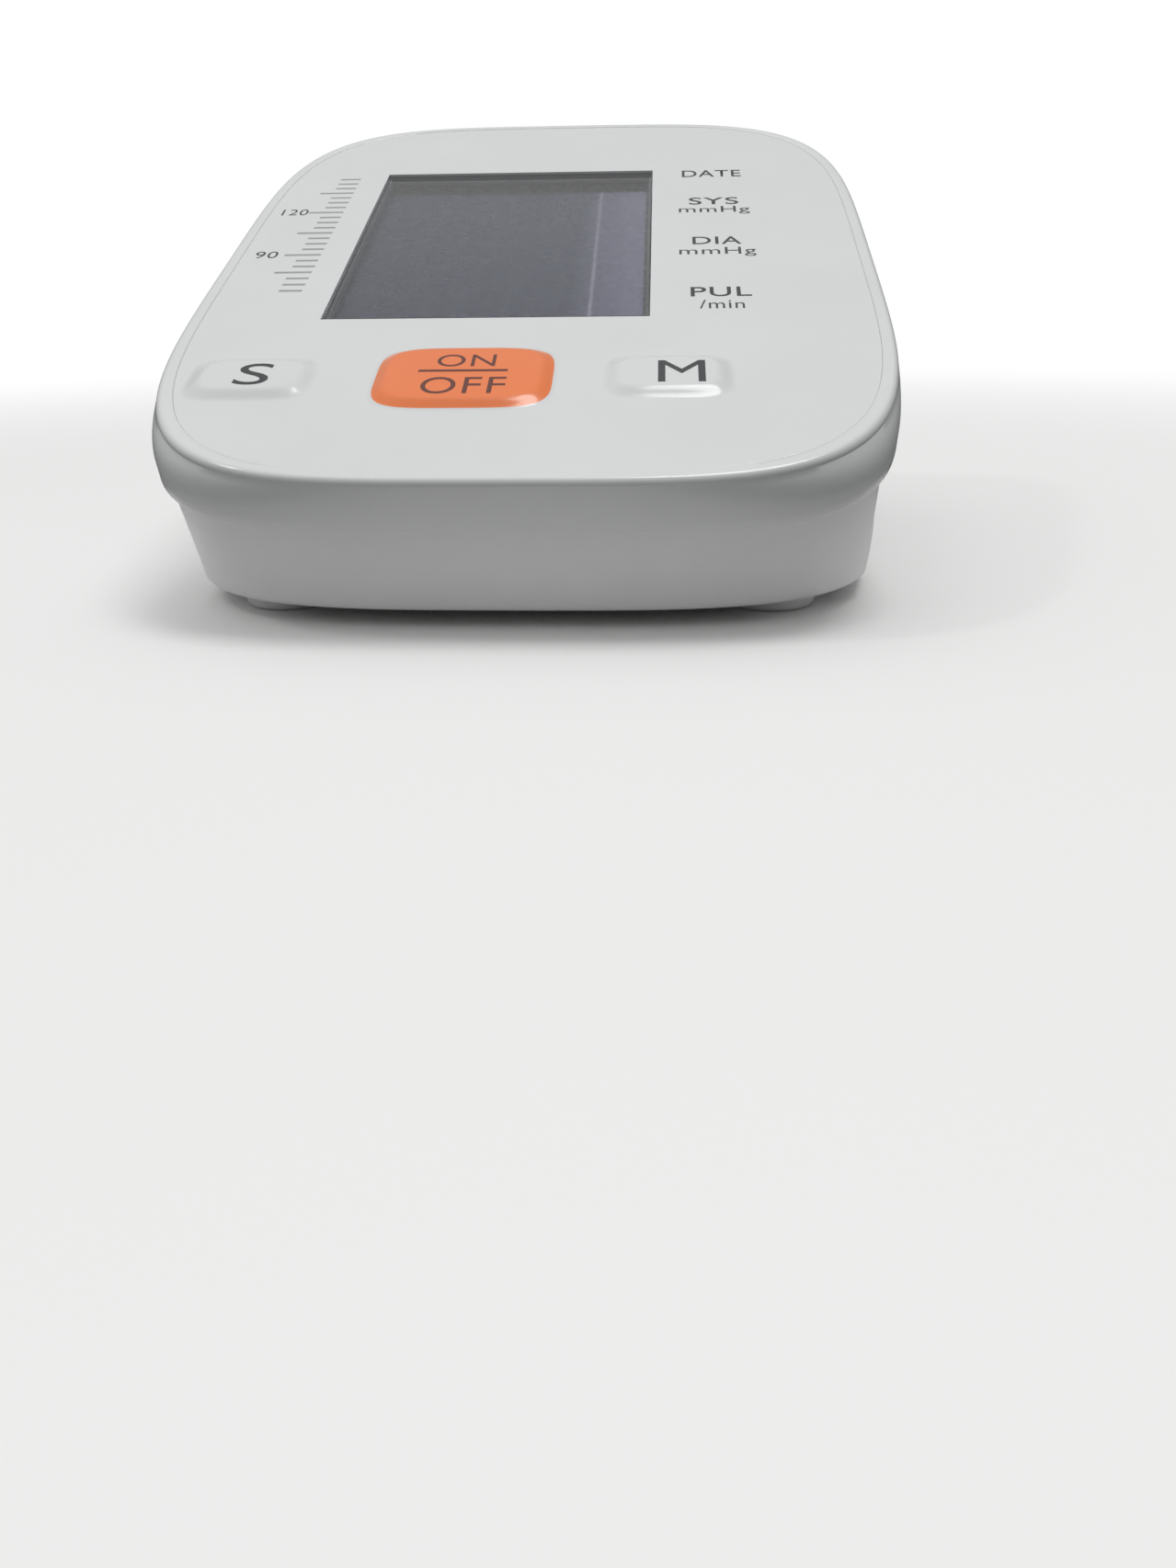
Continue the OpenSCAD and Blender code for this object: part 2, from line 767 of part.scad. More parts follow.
module bay_space() {
    translate([-bay_in_w/2, bay_front, 0]) cube([bay_in_w, bay_in_len, bay_roof]);
}

// Two saddles that carry the motor, and the posts of its strap: the front one stands on
// the battery bay, and the rear one on the floor behind it
module pump_saddles() {
    for (x = saddle_xs) translate([x - saddle_t/2, pump_y - motor_r*0.7, bay_top - weld])
        cube([saddle_t, motor_r*1.4, saddle_h + motor_r*0.35]);
    for (s = [-1, 1]) {
        low = (s < 0 ? bay_top : floor_top) - weld;
        translate([strap_x, strap_seat_y(s), low])
            cylinder(h = bay_top + strap_screw_len - low, r = strap_post_r);
    }
}

// Two forks on the battery bay that hold the release valve
module valve_cradle() {
    wide = valve_side + 2*(seat_gap + cradle_wall);
    difference() {
        for (k = [0.25, 0.75]) translate([valve_left + valve_len*k - cradle_t/2, socket_y - wide/2, bay_top - weld])
            cube([cradle_t, wide, valve_low + cradle_up - bay_top + weld]);
        translate([valve_left, socket_y - valve_side/2 - seat_gap, valve_low])
            cube([valve_len, valve_side + 2*seat_gap, valve_side]);
    }
}

function strap_seat_y(s) = pump_y + s*(motor_r + strap_gap + strap_t + strap_ear/2);

// Raised floor around the door's opening, which carries the bay's walls
module door_sill() {
    reach = door_w/2 + lug_out + door_gap + sill_w;
    intersection() {
        translate([-reach, door_front - door_gap - sill_w, floor_top - weld])
            cube([2*reach, base_len, sill_h + weld]);
        translate([0, base_y, base_z]) linear_extrude(floor_t + 2*sill_h)
            polygon(outline(base_w - 2*base_round, base_len - 2*base_round, base_square, ring_n));
    }
}

// Room for the battery door: its plate, its lugs and the notches that free them
module door_room() {
    gap = door_gap;
    translate([-door_w/2 - gap, door_front - gap, -over])
        cube([door_w + 2*gap, base_len, over + base_z + door_t + gap]);
    for (y = lug_ys) {
        translate([-door_w/2 - lug_out - gap, y - gap, lug_z - gap])
            cube([door_w + 2*(lug_out + gap), lug_len + door_travel + 2*gap, lug_t + 2*gap]);
        translate([-door_w/2 - lug_out - gap, y + door_travel - gap, -over])
            cube([door_w + 2*(lug_out + gap), lug_len + 2*gap, over + lug_z + lug_t]);
    }
}

// Collars inside the side walls that carry the two sockets
module socket_collars() {
    intersection() {
        union() {
            translate([0, socket_y, socket_z])
                x_rod(-wall_x, -wall_x + socket_rim_t + 3.4, socket_barrel_r + socket_fit + collar_wall);
            translate([0, socket_y, socket_z])
                x_rod(wall_x - jack_rim_t - 3.8, wall_x, jack_r + socket_fit + collar_wall);
        }
        case_form(recess_d + weld, weld, weld);
    }
}

module socket_holes() {
    translate([0, socket_y, socket_z]) {
        x_rod(-face_w, -socket_face_x + socket_rim_t + socket_fit, socket_ring_r + socket_fit);
        x_rod(-face_w, -socket_end, socket_barrel_r + socket_fit);
        x_rod(wall_x - jack_rim_t, face_w, jack_rim_r + socket_fit);
        x_rod(wall_x - jack_len, face_w, jack_r + socket_fit);
    }
}

module foot(x, y) {
    translate([x, y, 0]) cylinder(h = base_z + weld, r1 = foot_r, r2 = foot_r + foot_flare);
}

module lower_case() {
    color(white_shell) difference() {
        union() {
            case_shell();
            bay_box();
            door_sill();
            for (i = [0, 1], s = [-1, 1]) case_post(s*post_x, post_ys[i], post_splits[i]);
            pump_saddles();
            valve_cradle();
            socket_collars();
            for (s = [-1, 1]) {
                foot(s*front_foot_x, front_foot_y);
                foot(s*rear_foot_x, rear_foot_y);
            }
        }
        bay_space();
        door_room();
        finger_recess(-1);
        finger_recess(1);
        socket_holes();
        for (i = [0, 1], s = [-1, 1]) case_screw_hole(s*post_x, post_ys[i], post_splits[i]);
        translate([0, pump_y, pump_z]) x_rod(motor_x - over, motor_x + motor_len + over, motor_r + saddle_gap);
        for (s = [-1, 1]) translate([strap_x, strap_seat_y(s), bay_top])
            cylinder(h = strap_screw_len + over, r = strap_screw_r);
    }
}

// Screws from below: pan heads in the counterbores, shanks up into the cover's posts
module case_screws() {
    color(bare_metal) for (i = [0, 1], s = [-1, 1])
        translate([s*post_x, post_ys[i], post_splits[i] - case_seat_t]) difference() {
            union() {
                translate([0, 0, -case_head_h]) cylinder(h = case_head_h, r = case_head_r);
                cylinder(h = case_seat_t, r = case_screw_r);
                cylinder(h = case_screw_len, r = post_bore_r - weld);
            }
            translate([0, 0, -case_head_h]) cross_recess(case_head_r, case_head_h/2);
        }
}

// ---------------------------------------------------------------- battery

// Sliding door: its rear end follows the case, and its lugs hold it in the floor
module battery_door() {
    color(white_shell) difference() {
        union() {
            intersection() {
                translate([-door_w/2, door_front, 0]) cube([door_w, base_len, base_z + door_t]);
                case_form(0, weld, weld);
            }
            for (y = lug_ys) translate([-door_w/2 - lug_out, y, lug_z])
                cube([door_w + 2*lug_out, lug_len, lug_t]);
        }
        for (i = [0:grip_n - 1]) translate([-grip_w/2, bay_back - grip_end - i*grip_pitch, base_z - over])
            cube([grip_w, grip_pitch/2, over + grip_d]);
    }
}

// A cell along Y, with its button at the rear when turn is 1 and at the front when it is -1
module battery_cell(i) {
    turn = i%2 == 0 ? 1 : -1;
    button_end = turn == 1 ? bay_back - contact_t - 0.2 : bay_front + contact_t + 0.2;
    color(cell_green) translate([cell_xs[i], button_end, cell_z]) rotate([turn*90, 0, 0]) {
        translate([0, 0, cell_button_h]) cylinder(h = cell_len - cell_button_h, r = cell_r);
        cylinder(h = cell_button_h + weld, r = cell_button_r);
    }
}

module battery_cell_1() { battery_cell(0); }

module battery_cell_2() { battery_cell(1); }

module battery_cell_3() { battery_cell(2); }

module battery_cell_4() { battery_cell(3); }

// Sheet-metal contacts on the bay's end walls, joining the cells in series
module contact_plates() {
    one = cell_pitch - 2.4;
    two = one + cell_pitch;
    h = 2*cell_r - 3;
    z = cell_z - h/2;
    color(bare_metal) {
        for (x = [cell_xs[0] + cell_pitch/2, cell_xs[2] + cell_pitch/2])
            translate([x - two/2, bay_front, z]) cube([two, contact_t, h]);
        for (x = [cell_xs[0], cell_xs[3]])
            translate([x - one/2, bay_back - contact_t, z]) cube([one, contact_t, h]);
        translate([-two/2, bay_back - contact_t, z]) cube([two, contact_t, h]);
    }
}

// A tapering coil along Y from a contact plate to a cell's flat end
module contact_spring() {
    wire_r = 0.4;
    turns = 2.5;
    steps = 10;
    sides = 5;
    base_r = 4.4;
    tip_r = 2.6;
    pitch_len = spring_len - 2*wire_r - 0.1;
    function coil_r(k) = base_r + (tip_r - base_r)*k;
    rings = [for (i = [0:turns*steps]) let (k = i/(turns*steps), a = 360*i/steps)
        [for (j = [0:sides - 1]) let (b = -360*j/sides)
            [(coil_r(k) + wire_r*cos(b))*cos(a), wire_r + 0.05 + k*pitch_len + wire_r*sin(b),
             (coil_r(k) + wire_r*cos(b))*sin(a)]]];
    loft(rings);
}

module contact_springs() {
    color(bare_metal) for (i = [0:3])
        if (i%2 == 0) translate([cell_xs[i], bay_front + contact_t, cell_z]) contact_spring();
        else translate([cell_xs[i], bay_back - contact_t, cell_z]) rotate([0, 0, 180]) contact_spring();
}

// ---------------------------------------------------------------- air pump

// Moves what is drawn around the X axis onto the pump's axis
module on_pump() {
    translate([0, pump_y, pump_z]) children();
}

module pump_motor() {
    color(bare_metal) on_pump() difference() {
        union() {
            x_rod(motor_x, motor_x + motor_len, motor_r);
            x_rod(motor_x + motor_len, motor_x + motor_len + 2, 3.5);
        }
        x_rod(motor_x - over, motor_x + shaft_hole, shaft_r + shaft_fit);
    }
}

// The turning part: motor shaft, crank disc and the pin that works the diaphragms
module pump_eccentric() {
    disc_x = motor_x - crank_gap - crank_t;
    color(dark_part) on_pump() {
        x_rod(disc_x, motor_x + shaft_in, shaft_r);
        x_rod(disc_x, disc_x + crank_t, crank_r);
        translate([0, crank_pin_out, 0]) x_rod(disc_x - crank_pin_len, disc_x + weld, crank_pin_r);
    }
}

// Head with its crank room, and the outlet nozzle on its end
module pump_head() {
    room_end = motor_x - crank_gap - crank_t - crank_pin_len - 1;
    color(dark_part) on_pump() difference() {
        union() {
            x_rod(head_end, motor_x, head_r);
            x_rod(head_end - nozzle_len, head_end + weld, nozzle_r);
        }
        x_rod(room_end, motor_x + over, head_r - head_wall);
        x_rod(head_end - nozzle_len - over, head_end + 1, nozzle_bore_r);
    }
}

// Sheet strap over the motor, with an ear screwed down on each side
module pump_strap() {
    inner = motor_r + strap_gap;
    outer = inner + strap_t;
    seat = bay_top + strap_screw_len;
    color(bare_metal) difference() {
        union() {
            on_pump() x_rod(strap_x - strap_w/2, strap_x + strap_w/2, outer);
            translate([strap_x - strap_w/2, pump_y - outer, seat])
                cube([strap_w, 2*outer, pump_z - seat]);
            for (s = [-1, 1]) translate([strap_x - strap_w/2, strap_seat_y(s) - strap_ear/2 - weld, seat])
                cube([strap_w, strap_ear + 2*weld, strap_t]);
        }
        on_pump() x_rod(strap_x - strap_w, strap_x + strap_w, inner);
        translate([strap_x - strap_w, pump_y - inner, 0]) cube([2*strap_w, 2*inner, pump_z]);
        translate([strap_x - strap_w, pump_y - 2*outer, seat - outer]) cube([2*strap_w, 4*outer, outer]);
        for (s = [-1, 1]) translate([strap_x, strap_seat_y(s), seat - over])
            cylinder(h = strap_t + 2*over, r = strap_screw_r + screw_fit);
    }
}

module strap_screws() {
    seat = bay_top + strap_screw_len + strap_t;
    color(bare_metal) for (s = [-1, 1]) translate([strap_x, strap_seat_y(s), seat]) difference() {
        union() {
            cylinder(h = strap_head_h, r = strap_head_r);
            translate([0, 0, -strap_screw_len]) cylinder(h = strap_screw_len + weld, r = strap_screw_r - weld);
        }
        translate([0, 0, strap_head_h]) rotate([180, 0, 0]) cross_recess(strap_head_r, strap_head_h/2);
    }
}

// ---------------------------------------------------------------- air lines

// Solenoid valve that lets the air out: frame, coil and inlet
module release_valve() {
    color(bare_metal) translate([0, socket_y, valve_z]) difference() {
        union() {
            translate([valve_left, -valve_side/2, -valve_side/2]) cube([valve_len, valve_side, valve_side]);
            x_rod(valve_left + valve_len - weld, valve_left + valve_len + valve_cap_t, valve_cap_r);
            x_rod(valve_left - nozzle_len, valve_left + weld, nozzle_r);
        }
        x_rod(valve_left - nozzle_len - over, valve_left + 3, nozzle_bore_r);
        x_rod(valve_left + valve_len, valve_left + valve_len + valve_cap_t + over, nozzle_bore_r);
    }
}

// Block that joins the pump, the valve, the sensor and the socket around one upright bore
module air_manifold() {
    left = manifold_left;
    right = manifold_right;
    front = socket_y - manifold_d/2;
    main_bore_r = nozzle_bore_r + 0.6;
    color(tube_white) difference() {
        union() {
            translate([left, front, bay_top + seat_gap])
                cube([manifold_w, manifold_d, manifold_top - bay_top - seat_gap]);
            for (z = [socket_z, pump_z])
                translate([0, socket_y, z]) x_rod(left - nozzle_len, left + over, nozzle_r);
            translate([0, socket_y, valve_z]) x_rod(right - over, right + nozzle_len, nozzle_r);
            translate([manifold_x, front + over, sensor_z]) rotate([90, 0, 0])
                cylinder(h = nozzle_len + over, r = nozzle_r);
        }
        translate([manifold_x, socket_y, sensor_z - main_bore_r])
            cylinder(h = pump_z - sensor_z + 2*main_bore_r, r = main_bore_r);
        for (z = [socket_z, pump_z])
            translate([0, socket_y, z]) x_rod(left - nozzle_len - over, manifold_x, nozzle_bore_r);
        translate([0, socket_y, valve_z]) x_rod(manifold_x, right + nozzle_len + over, nozzle_bore_r);
        translate([manifold_x, socket_y, sensor_z]) rotate([90, 0, 0])
            cylinder(h = manifold_d/2 + nozzle_len + over, r = nozzle_bore_r);
    }
}

// A straight tube of a given length, upwards from the origin
module tube(len) {
    difference() {
        cylinder(h = len, r = tube_r);
        translate([0, 0, -over]) cylinder(h = len + 2*over, r = tube_bore_r);
    }
}

// A straight tube along X between two places
module x_tube(x0, x1) {
    translate([x0, 0, 0]) rotate([0, 90, 0]) tube(x1 - x0);
}

// A bend of a tube in the XY plane, around the origin
module tube_bend(turn) {
    rotate_extrude(angle = turn) translate([bend_r, 0]) difference() {
        circle(tube_r);
        circle(tube_bore_r);
    }
}

// Tube from the pump round to the manifold: out, across and back
module pump_tube() {
    x_bend = head_end - nozzle_len - tube_end_gap;
    y0 = socket_y + bend_r;
    y1 = pump_y - bend_r;
    color(tube_white) translate([0, 0, pump_z]) {
        translate([0, pump_y, 0]) x_tube(x_bend, head_end - tube_end_gap);
        translate([x_bend, y1, 0]) rotate(90) tube_bend(90);
        translate([x_bend - bend_r, y0, 0]) rotate([-90, 0, 0]) tube(y1 - y0);
        translate([x_bend, y0, 0]) rotate(180) tube_bend(90);
        translate([0, socket_y, 0]) x_tube(x_bend, manifold_left - tube_end_gap);
    }
}

module socket_tube() {
    color(tube_white) translate([0, socket_y, socket_z])
        x_tube(-socket_end + tube_end_gap, manifold_left - tube_end_gap);
}

module valve_tube() {
    color(tube_white) translate([0, socket_y, valve_z])
        x_tube(manifold_right + tube_end_gap, valve_left - tube_end_gap);
}

// Tube from the manifold's front, turning up square to the board
module sensor_tube() {
    y0 = socket_y - manifold_d/2 - tube_end_gap;
    color(tube_white) {
        translate([manifold_x, y0, sensor_z]) rotate([90, 0, 0]) tube(y0 - sensor_bend_y);
        translate([manifold_x, sensor_bend_y, sensor_z + bend_r])
            rotate([90, 0, 90]) rotate(face_tilt - 180) tube_bend(90 - face_tilt);
        on_face() translate([manifold_x, sensor_v, sensor_low])
            tube(board_bottom - sensor_h - tube_end_gap - sensor_low);
    }
}

// ---------------------------------------------------------------- sockets

// Air socket: a ring let into the wall, a nose with the bore, and the tube's nozzle inside
module air_socket() {
    color(white_shell) translate([0, socket_y, socket_z]) difference() {
        union() {
            x_rod(-socket_face_x, -socket_face_x + socket_rim_t, socket_ring_r);
            x_rod(-socket_face_x + weld, -socket_end, socket_barrel_r);
            x_rod(-socket_end - weld, -socket_end + nozzle_len, nozzle_r);
        }
        difference() {
            x_rod(-socket_face_x - over, -socket_face_x + socket_rim_t*0.6, socket_groove_r);
            x_rod(-socket_face_x - 2*over, -socket_face_x + socket_rim_t, socket_nose_r);
        }
        x_rod(-socket_face_x - over, -socket_face_x + socket_bore_len, socket_bore_r);
        x_rod(-socket_face_x, -socket_end + nozzle_len + over, nozzle_bore_r);
    }
}

// Round low-voltage socket with its centre pin
module power_socket() {
    color(dark_part) translate([0, socket_y, socket_z]) difference() {
        union() {
            x_rod(wall_x - jack_rim_t, wall_x, jack_rim_r);
            x_rod(wall_x - jack_len, wall_x - weld, jack_r);
        }
        difference() {
            x_rod(wall_x - jack_bore_len, wall_x + over, jack_bore_r);
            x_rod(wall_x - jack_bore_len - weld, wall_x - 1.5, jack_pin_r);
        }
    }
}

top_cover();
face_panel();
display_window();
display_glass();
backlight();
pad_s();
pad_power();
pad_m();
plunger_s();
plunger_power();
plunger_m();
pad_switches();
circuit_board();
controller_chip();
buzzer();
pressure_sensor();
board_screws();
lower_case();
case_screws();
battery_door();
battery_cell_1();
battery_cell_2();
battery_cell_3();
battery_cell_4();
contact_plates();
contact_springs();
pump_motor();
pump_eccentric();
pump_head();
pump_strap();
strap_screws();
release_valve();
air_manifold();
pump_tube();
socket_tube();
valve_tube();
sensor_tube();
air_socket();
power_socket();
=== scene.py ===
import math
import bmesh
import bpy
from mathutils import Matrix, Vector


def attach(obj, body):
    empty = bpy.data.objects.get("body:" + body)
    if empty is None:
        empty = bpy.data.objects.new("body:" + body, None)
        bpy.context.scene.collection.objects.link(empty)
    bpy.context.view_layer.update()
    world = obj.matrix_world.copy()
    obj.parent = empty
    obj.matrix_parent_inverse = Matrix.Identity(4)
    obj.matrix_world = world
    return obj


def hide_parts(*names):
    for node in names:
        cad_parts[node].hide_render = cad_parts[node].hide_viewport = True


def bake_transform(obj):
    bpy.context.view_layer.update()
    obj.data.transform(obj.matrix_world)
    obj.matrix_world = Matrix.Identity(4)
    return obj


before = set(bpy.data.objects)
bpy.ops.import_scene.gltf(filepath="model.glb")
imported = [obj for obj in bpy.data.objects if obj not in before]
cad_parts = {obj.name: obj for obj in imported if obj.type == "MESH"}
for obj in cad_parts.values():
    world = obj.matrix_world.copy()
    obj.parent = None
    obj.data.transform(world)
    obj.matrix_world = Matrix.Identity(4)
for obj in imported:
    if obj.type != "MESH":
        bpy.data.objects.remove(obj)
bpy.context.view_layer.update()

# Sizes are in millimetres while a piece is shaped. Each piece is brought to metres when it is done.
MM = 0.001

# ---------------------------------------------------------------- camera

# The photo's view: close in front and low, so that the object fills the picture's upper part
CAMERA_AT = Vector((17.24, -205.89, 39.48))
RIGHT = Vector((0.99860, 0.05181, -0.01034))
DOWN = Vector((0.00975, -0.37302, -0.92777))
AHEAD = Vector((-0.05192, 0.92638, -0.37300))

camera = bpy.data.objects.new("camera", bpy.data.cameras.new("camera"))
bpy.context.scene.collection.objects.link(camera)
camera.data.sensor_width = 36
camera.data.lens = 28.07
camera.data.clip_start = 0.01
camera.data.clip_end = 20
camera.matrix_world = Matrix.Translation(CAMERA_AT * MM) @ Matrix(
    (RIGHT, -DOWN, -AHEAD)).transposed().to_4x4()
bpy.context.scene.camera = camera

# ---------------------------------------------------------------- sizes of the housing

# The sloping face: its tilt, its middle, half its width and length, and how square its outline is
TILT = math.radians(22)
FACE_Y, FACE_Z = -1.447, 44.6
FACE_HALF_W, FACE_HALF_L, FACE_POWER = 50, 66.9, 4.2
# The underside's outline, middle and level, its rounded edge, and the case's floor inside
BASE_HALF_W, BASE_HALF_L, BASE_POWER, BASE_Y, BASE_Z = 49.9, 57.6, 3.5, 2, 2
BASE_ROUND, FLOOR_IN, FLOOR_TOP = 2.6, 5.5, 4.2
# The band round the face: height, squareness at its foot, wall
BAND, BAND_POWER, BAND_WALL = 7, 5, 2
RIM_ROUND, RIM_W = 0.9, 2.1
# Levels on the face: the sheet inlaid in the rim, and the plate under it
PANEL_TOP, PANEL_BOTTOM, PLATE_BOTTOM = -0.1, -1.1, -2.9
# The window, the gap round it, its flange and the ledge under the flange
WINDOW_U, WINDOW_V, WINDOW_W, WINDOW_L = -7.1, 8.9, 46.7, 61.3
WINDOW_GAP, FLANGE_W, FLANGE_BOTTOM, LEDGE_W, LEDGE_DEPTH = 0.12, 1.5, -1.9, 1.62, 0.85
# The pads: squareness, place up the face and top
PAD_POWER, PAD_V, PAD_TOP = 4.4, -40.7, 0.8
# Each pad's film: place across, half width, half length, width of its flank
FILMS = {"pad_s": (-35.9, 8.9, 6.4, 2.8), "pad_power": (-7.7, 12.4, 9.3, 2.6),
         "pad_m": (18.9, 8.8, 6.4, 2.8)}
# Each pad's body under the film: place across, half width, half length
CORES = {"pad_s": (-36.0, 8.2, 6.3), "pad_power": (-7.7, 11.7, 8.6), "pad_m": (20.6, 8.2, 6.3)}
# The lower case's step in from the band, and its lip inside the band
STEP, LIP_OUT, LIP_IN, LIP_H = 0.8, 2.15, 3.1, 1.8
# The finger recesses: step at the edge, depth at the foot and at the top, ends, sweep of the ends
RECESS_STEP, RECESS_LOW, RECESS_HIGH = 0.45, 3, 1.1
RECESS_FRONT, RECESS_BACK, RECESS_SWEEP = -45, 41, 9.5
# The battery bay: half width, front, back and top of its room, then its roof and its wall
BAY_HALF, BAY_FRONT, BAY_BACK, BAY_ROOM, BAY_TOP, BAY_WALL = 29.8, -5.7, 51, 18.9, 20.5, 1.6
DOOR_HALF, DOOR_FRONT, DOOR_TOP, DOOR_GAP, DOOR_SLIDE = 32.4, -10.3, 3.8, 0.25, 8
LUG_YS, LUG_HALF, LUG_L, LUG_BOTTOM = (-6.3, 29.7), 33.4, 6, 3.1
FRONT_FOOT, REAR_FOOT, FOOT_R = (33.1, -40.6), (39, 38.4), 6.1
# Screw posts of the two halves of the housing, with the level they meet at, and posts for the board
POST_X, POST_YS, POST_TOPS, POST_R = 40, (-8, 29), (20, 36), 3.6
BOARD_POST_US, BOARD_POST_VS, BOARD_LEVEL = (-38, 36), (-21.7, 41.3), -8.4
# The pump, its strap's screws, and the sockets in the side walls
PUMP_Y, PUMP_Z, MOTOR_R = 37, 33.2, 11.5
STRAP_X, STRAP_REACH, STRAP_TOP = 22, MOTOR_R + 3.6, BAY_TOP + 5
SOCKET_Y, SOCKET_Z, WALL_X = 19.5, 24.6, 47.375
SEAT_X = WALL_X - 1.2
# How deep a form is sunk into the one it joins, and a size past every wall
SUNK, FAR = 0.1, 90

# ---------------------------------------------------------------- making pieces


def on_face(u, v, level=0.0):
    """A place on the sloping face, at a level above its rim."""
    return Vector((u, FACE_Y + v * math.cos(TILT) - level * math.sin(TILT),
                   FACE_Z + v * math.sin(TILT) + level * math.cos(TILT)))


def off_face(at):
    """Across, up and level of a place, measured on the sloping face."""
    at = at - on_face(0, 0)
    return (at.x, at.y * math.cos(TILT) + at.z * math.sin(TILT),
            at.z * math.cos(TILT) - at.y * math.sin(TILT))


def level_z(y, level):
    """The height at which a level of the face passes over a place."""
    return FACE_Z + (math.sin(TILT) * (y - FACE_Y) + level) / math.cos(TILT)


def climbed(at, low, high):
    """How far a value has come from low to high, as a share from 0 to 1."""
    return min(max((at - low) / (high - low), 0), 1)


def soft_step(share):
    """A step from 0 to 1 without corners."""
    share = climbed(share, 0, 1)
    return share * share * (3 - 2 * share)


def rounded(half_w, half_l, power, turn):
    """A point of an outline between an ellipse and a rectangle."""
    c, s = math.cos(turn), math.sin(turn)
    return (math.copysign(half_w * abs(c) ** (2 / power), c) if abs(c) > 1e-9 else 0.0,
            math.copysign(half_l * abs(s) ** (2 / power), s) if abs(s) > 1e-9 else 0.0)


def even_turns(half_w, half_l, power, per_quarter, fine_steps=3000):
    """Turns from 0 to a quarter whose points lie evenly along the outline, both ends included."""
    fine = [math.pi / 4 * (1 - math.cos(math.pi * i / fine_steps)) for i in range(fine_steps + 1)]
    points = [rounded(half_w, half_l, power, turn) for turn in fine]
    run = [0.0]
    for a, b in zip(points, points[1:]):
        run.append(run[-1] + math.dist(a, b))
    found, k = [], 0
    for i in range(per_quarter + 1):
        goal = run[-1] * i / per_quarter
        while k < fine_steps - 1 and run[k + 1] < goal:
            k += 1
        share = (goal - run[k]) / max(run[k + 1] - run[k], 1e-12)
        found.append(fine[k] + share * (fine[k + 1] - fine[k]))
    return found


def all_round(quarter):
    """The turns of the whole outline, counter-clockwise, from those of one quarter."""
    half = quarter[:-1] + [math.pi - t for t in reversed(quarter)][:-1]
    return half + [t + math.pi for t in half]


def put_down():
    """Leaves nothing selected."""
    bpy.ops.object.select_all(action="DESELECT")


def take(piece):
    """Selects one piece alone and makes it the active one."""
    put_down()
    piece.select_set(True)
    bpy.context.view_layer.objects.active = piece


def turn_out(piece):
    """Points every face outwards."""
    take(piece)
    bpy.ops.object.mode_set(mode="EDIT")
    bpy.ops.mesh.select_all(action="SELECT")
    bpy.ops.mesh.normals_make_consistent(inside=False)
    bpy.ops.object.mode_set(mode="OBJECT")


def loft(name, rings):
    """A closed form drawn up through rings with the same number of points."""
    put_down()
    bpy.ops.mesh.primitive_circle_add(vertices=len(rings[0]), radius=1, fill_type="NGON")
    piece = bpy.context.object
    piece.name = piece.data.name = name
    numbers = piece.data.attributes.new("place", "INT", "POINT")
    numbers.data.foreach_set("value", range(len(rings[0])))
    for vertex, at in zip(piece.data.vertices, rings[0]):
        vertex.co = at
    bpy.ops.object.mode_set(mode="EDIT")
    bpy.ops.mesh.select_all(action="SELECT")
    for ring in rings[1:]:
        bpy.ops.mesh.extrude_region_move(TRANSFORM_OT_translate={"value": (0, 0, 0)})
        form = bmesh.from_edit_mesh(piece.data)
        place = form.verts.layers.int["place"]
        for vertex in form.verts:
            if vertex.select:
                vertex.co = ring[vertex[place]]
        bmesh.update_edit_mesh(piece.data)
    bpy.ops.object.mode_set(mode="OBJECT")
    piece.data.attributes.remove(piece.data.attributes["place"])
    turn_out(piece)
    return piece


def spun(name, x, y, profile):
    """A round form about an upright line, from its radii and their heights."""
    around = [math.radians(7.5 * i) for i in range(48)]
    return loft(name, [[Vector((x + r * math.cos(a), y + r * math.sin(a), z)) for a in around]
                       for r, z in profile])


def block(x0, x1, y0, y1, z0, z1):
    """A box between its six sides."""
    put_down()
    bpy.ops.mesh.primitive_cube_add(size=1)
    piece = bpy.context.object
    for vertex in piece.data.vertices:
        x, y, z = vertex.co
        vertex.co = (x1 if x > 0 else x0, y1 if y > 0 else y0, z1 if z > 0 else z0)
    return piece


def face_block(u, v, w, length, low, high):
    """A block set square on the sloping face."""
    piece = block(u - w / 2, u + w / 2, v - length / 2, v + length / 2, low, high)
    for vertex in piece.data.vertices:
        vertex.co = on_face(*vertex.co)
    return piece


def window_block(margin, low, high):
    """A block over the window, wider than it by a margin all round."""
    return face_block(WINDOW_U, WINDOW_V, WINDOW_W + 2 * margin, WINDOW_L + 2 * margin, low, high)


def rod(start, end, r, sides=48):
    """A straight round rod between two places."""
    start, end = Vector(start), Vector(end)
    put_down()
    bpy.ops.mesh.primitive_cone_add(vertices=sides, radius1=r, radius2=r,
                                    depth=(end - start).length)
    piece = bpy.context.object
    turn = (end - start).to_track_quat("Z", "Y").to_matrix().to_4x4()
    piece.data.transform(Matrix.Translation((start + end) / 2) @ turn)
    return piece


def socket_rod(x0, x1, r, sides=48):
    """A rod on the sockets' line, across the case."""
    return rod((x0, SOCKET_Y, SOCKET_Z), (x1, SOCKET_Y, SOCKET_Z), r, sides)


def joined(parts):
    """Several loose forms as one mesh."""
    put_down()
    for part in parts:
        part.select_set(True)
    bpy.context.view_layer.objects.active = parts[0]
    if len(parts) > 1:
        bpy.ops.object.join()
    return parts[0]


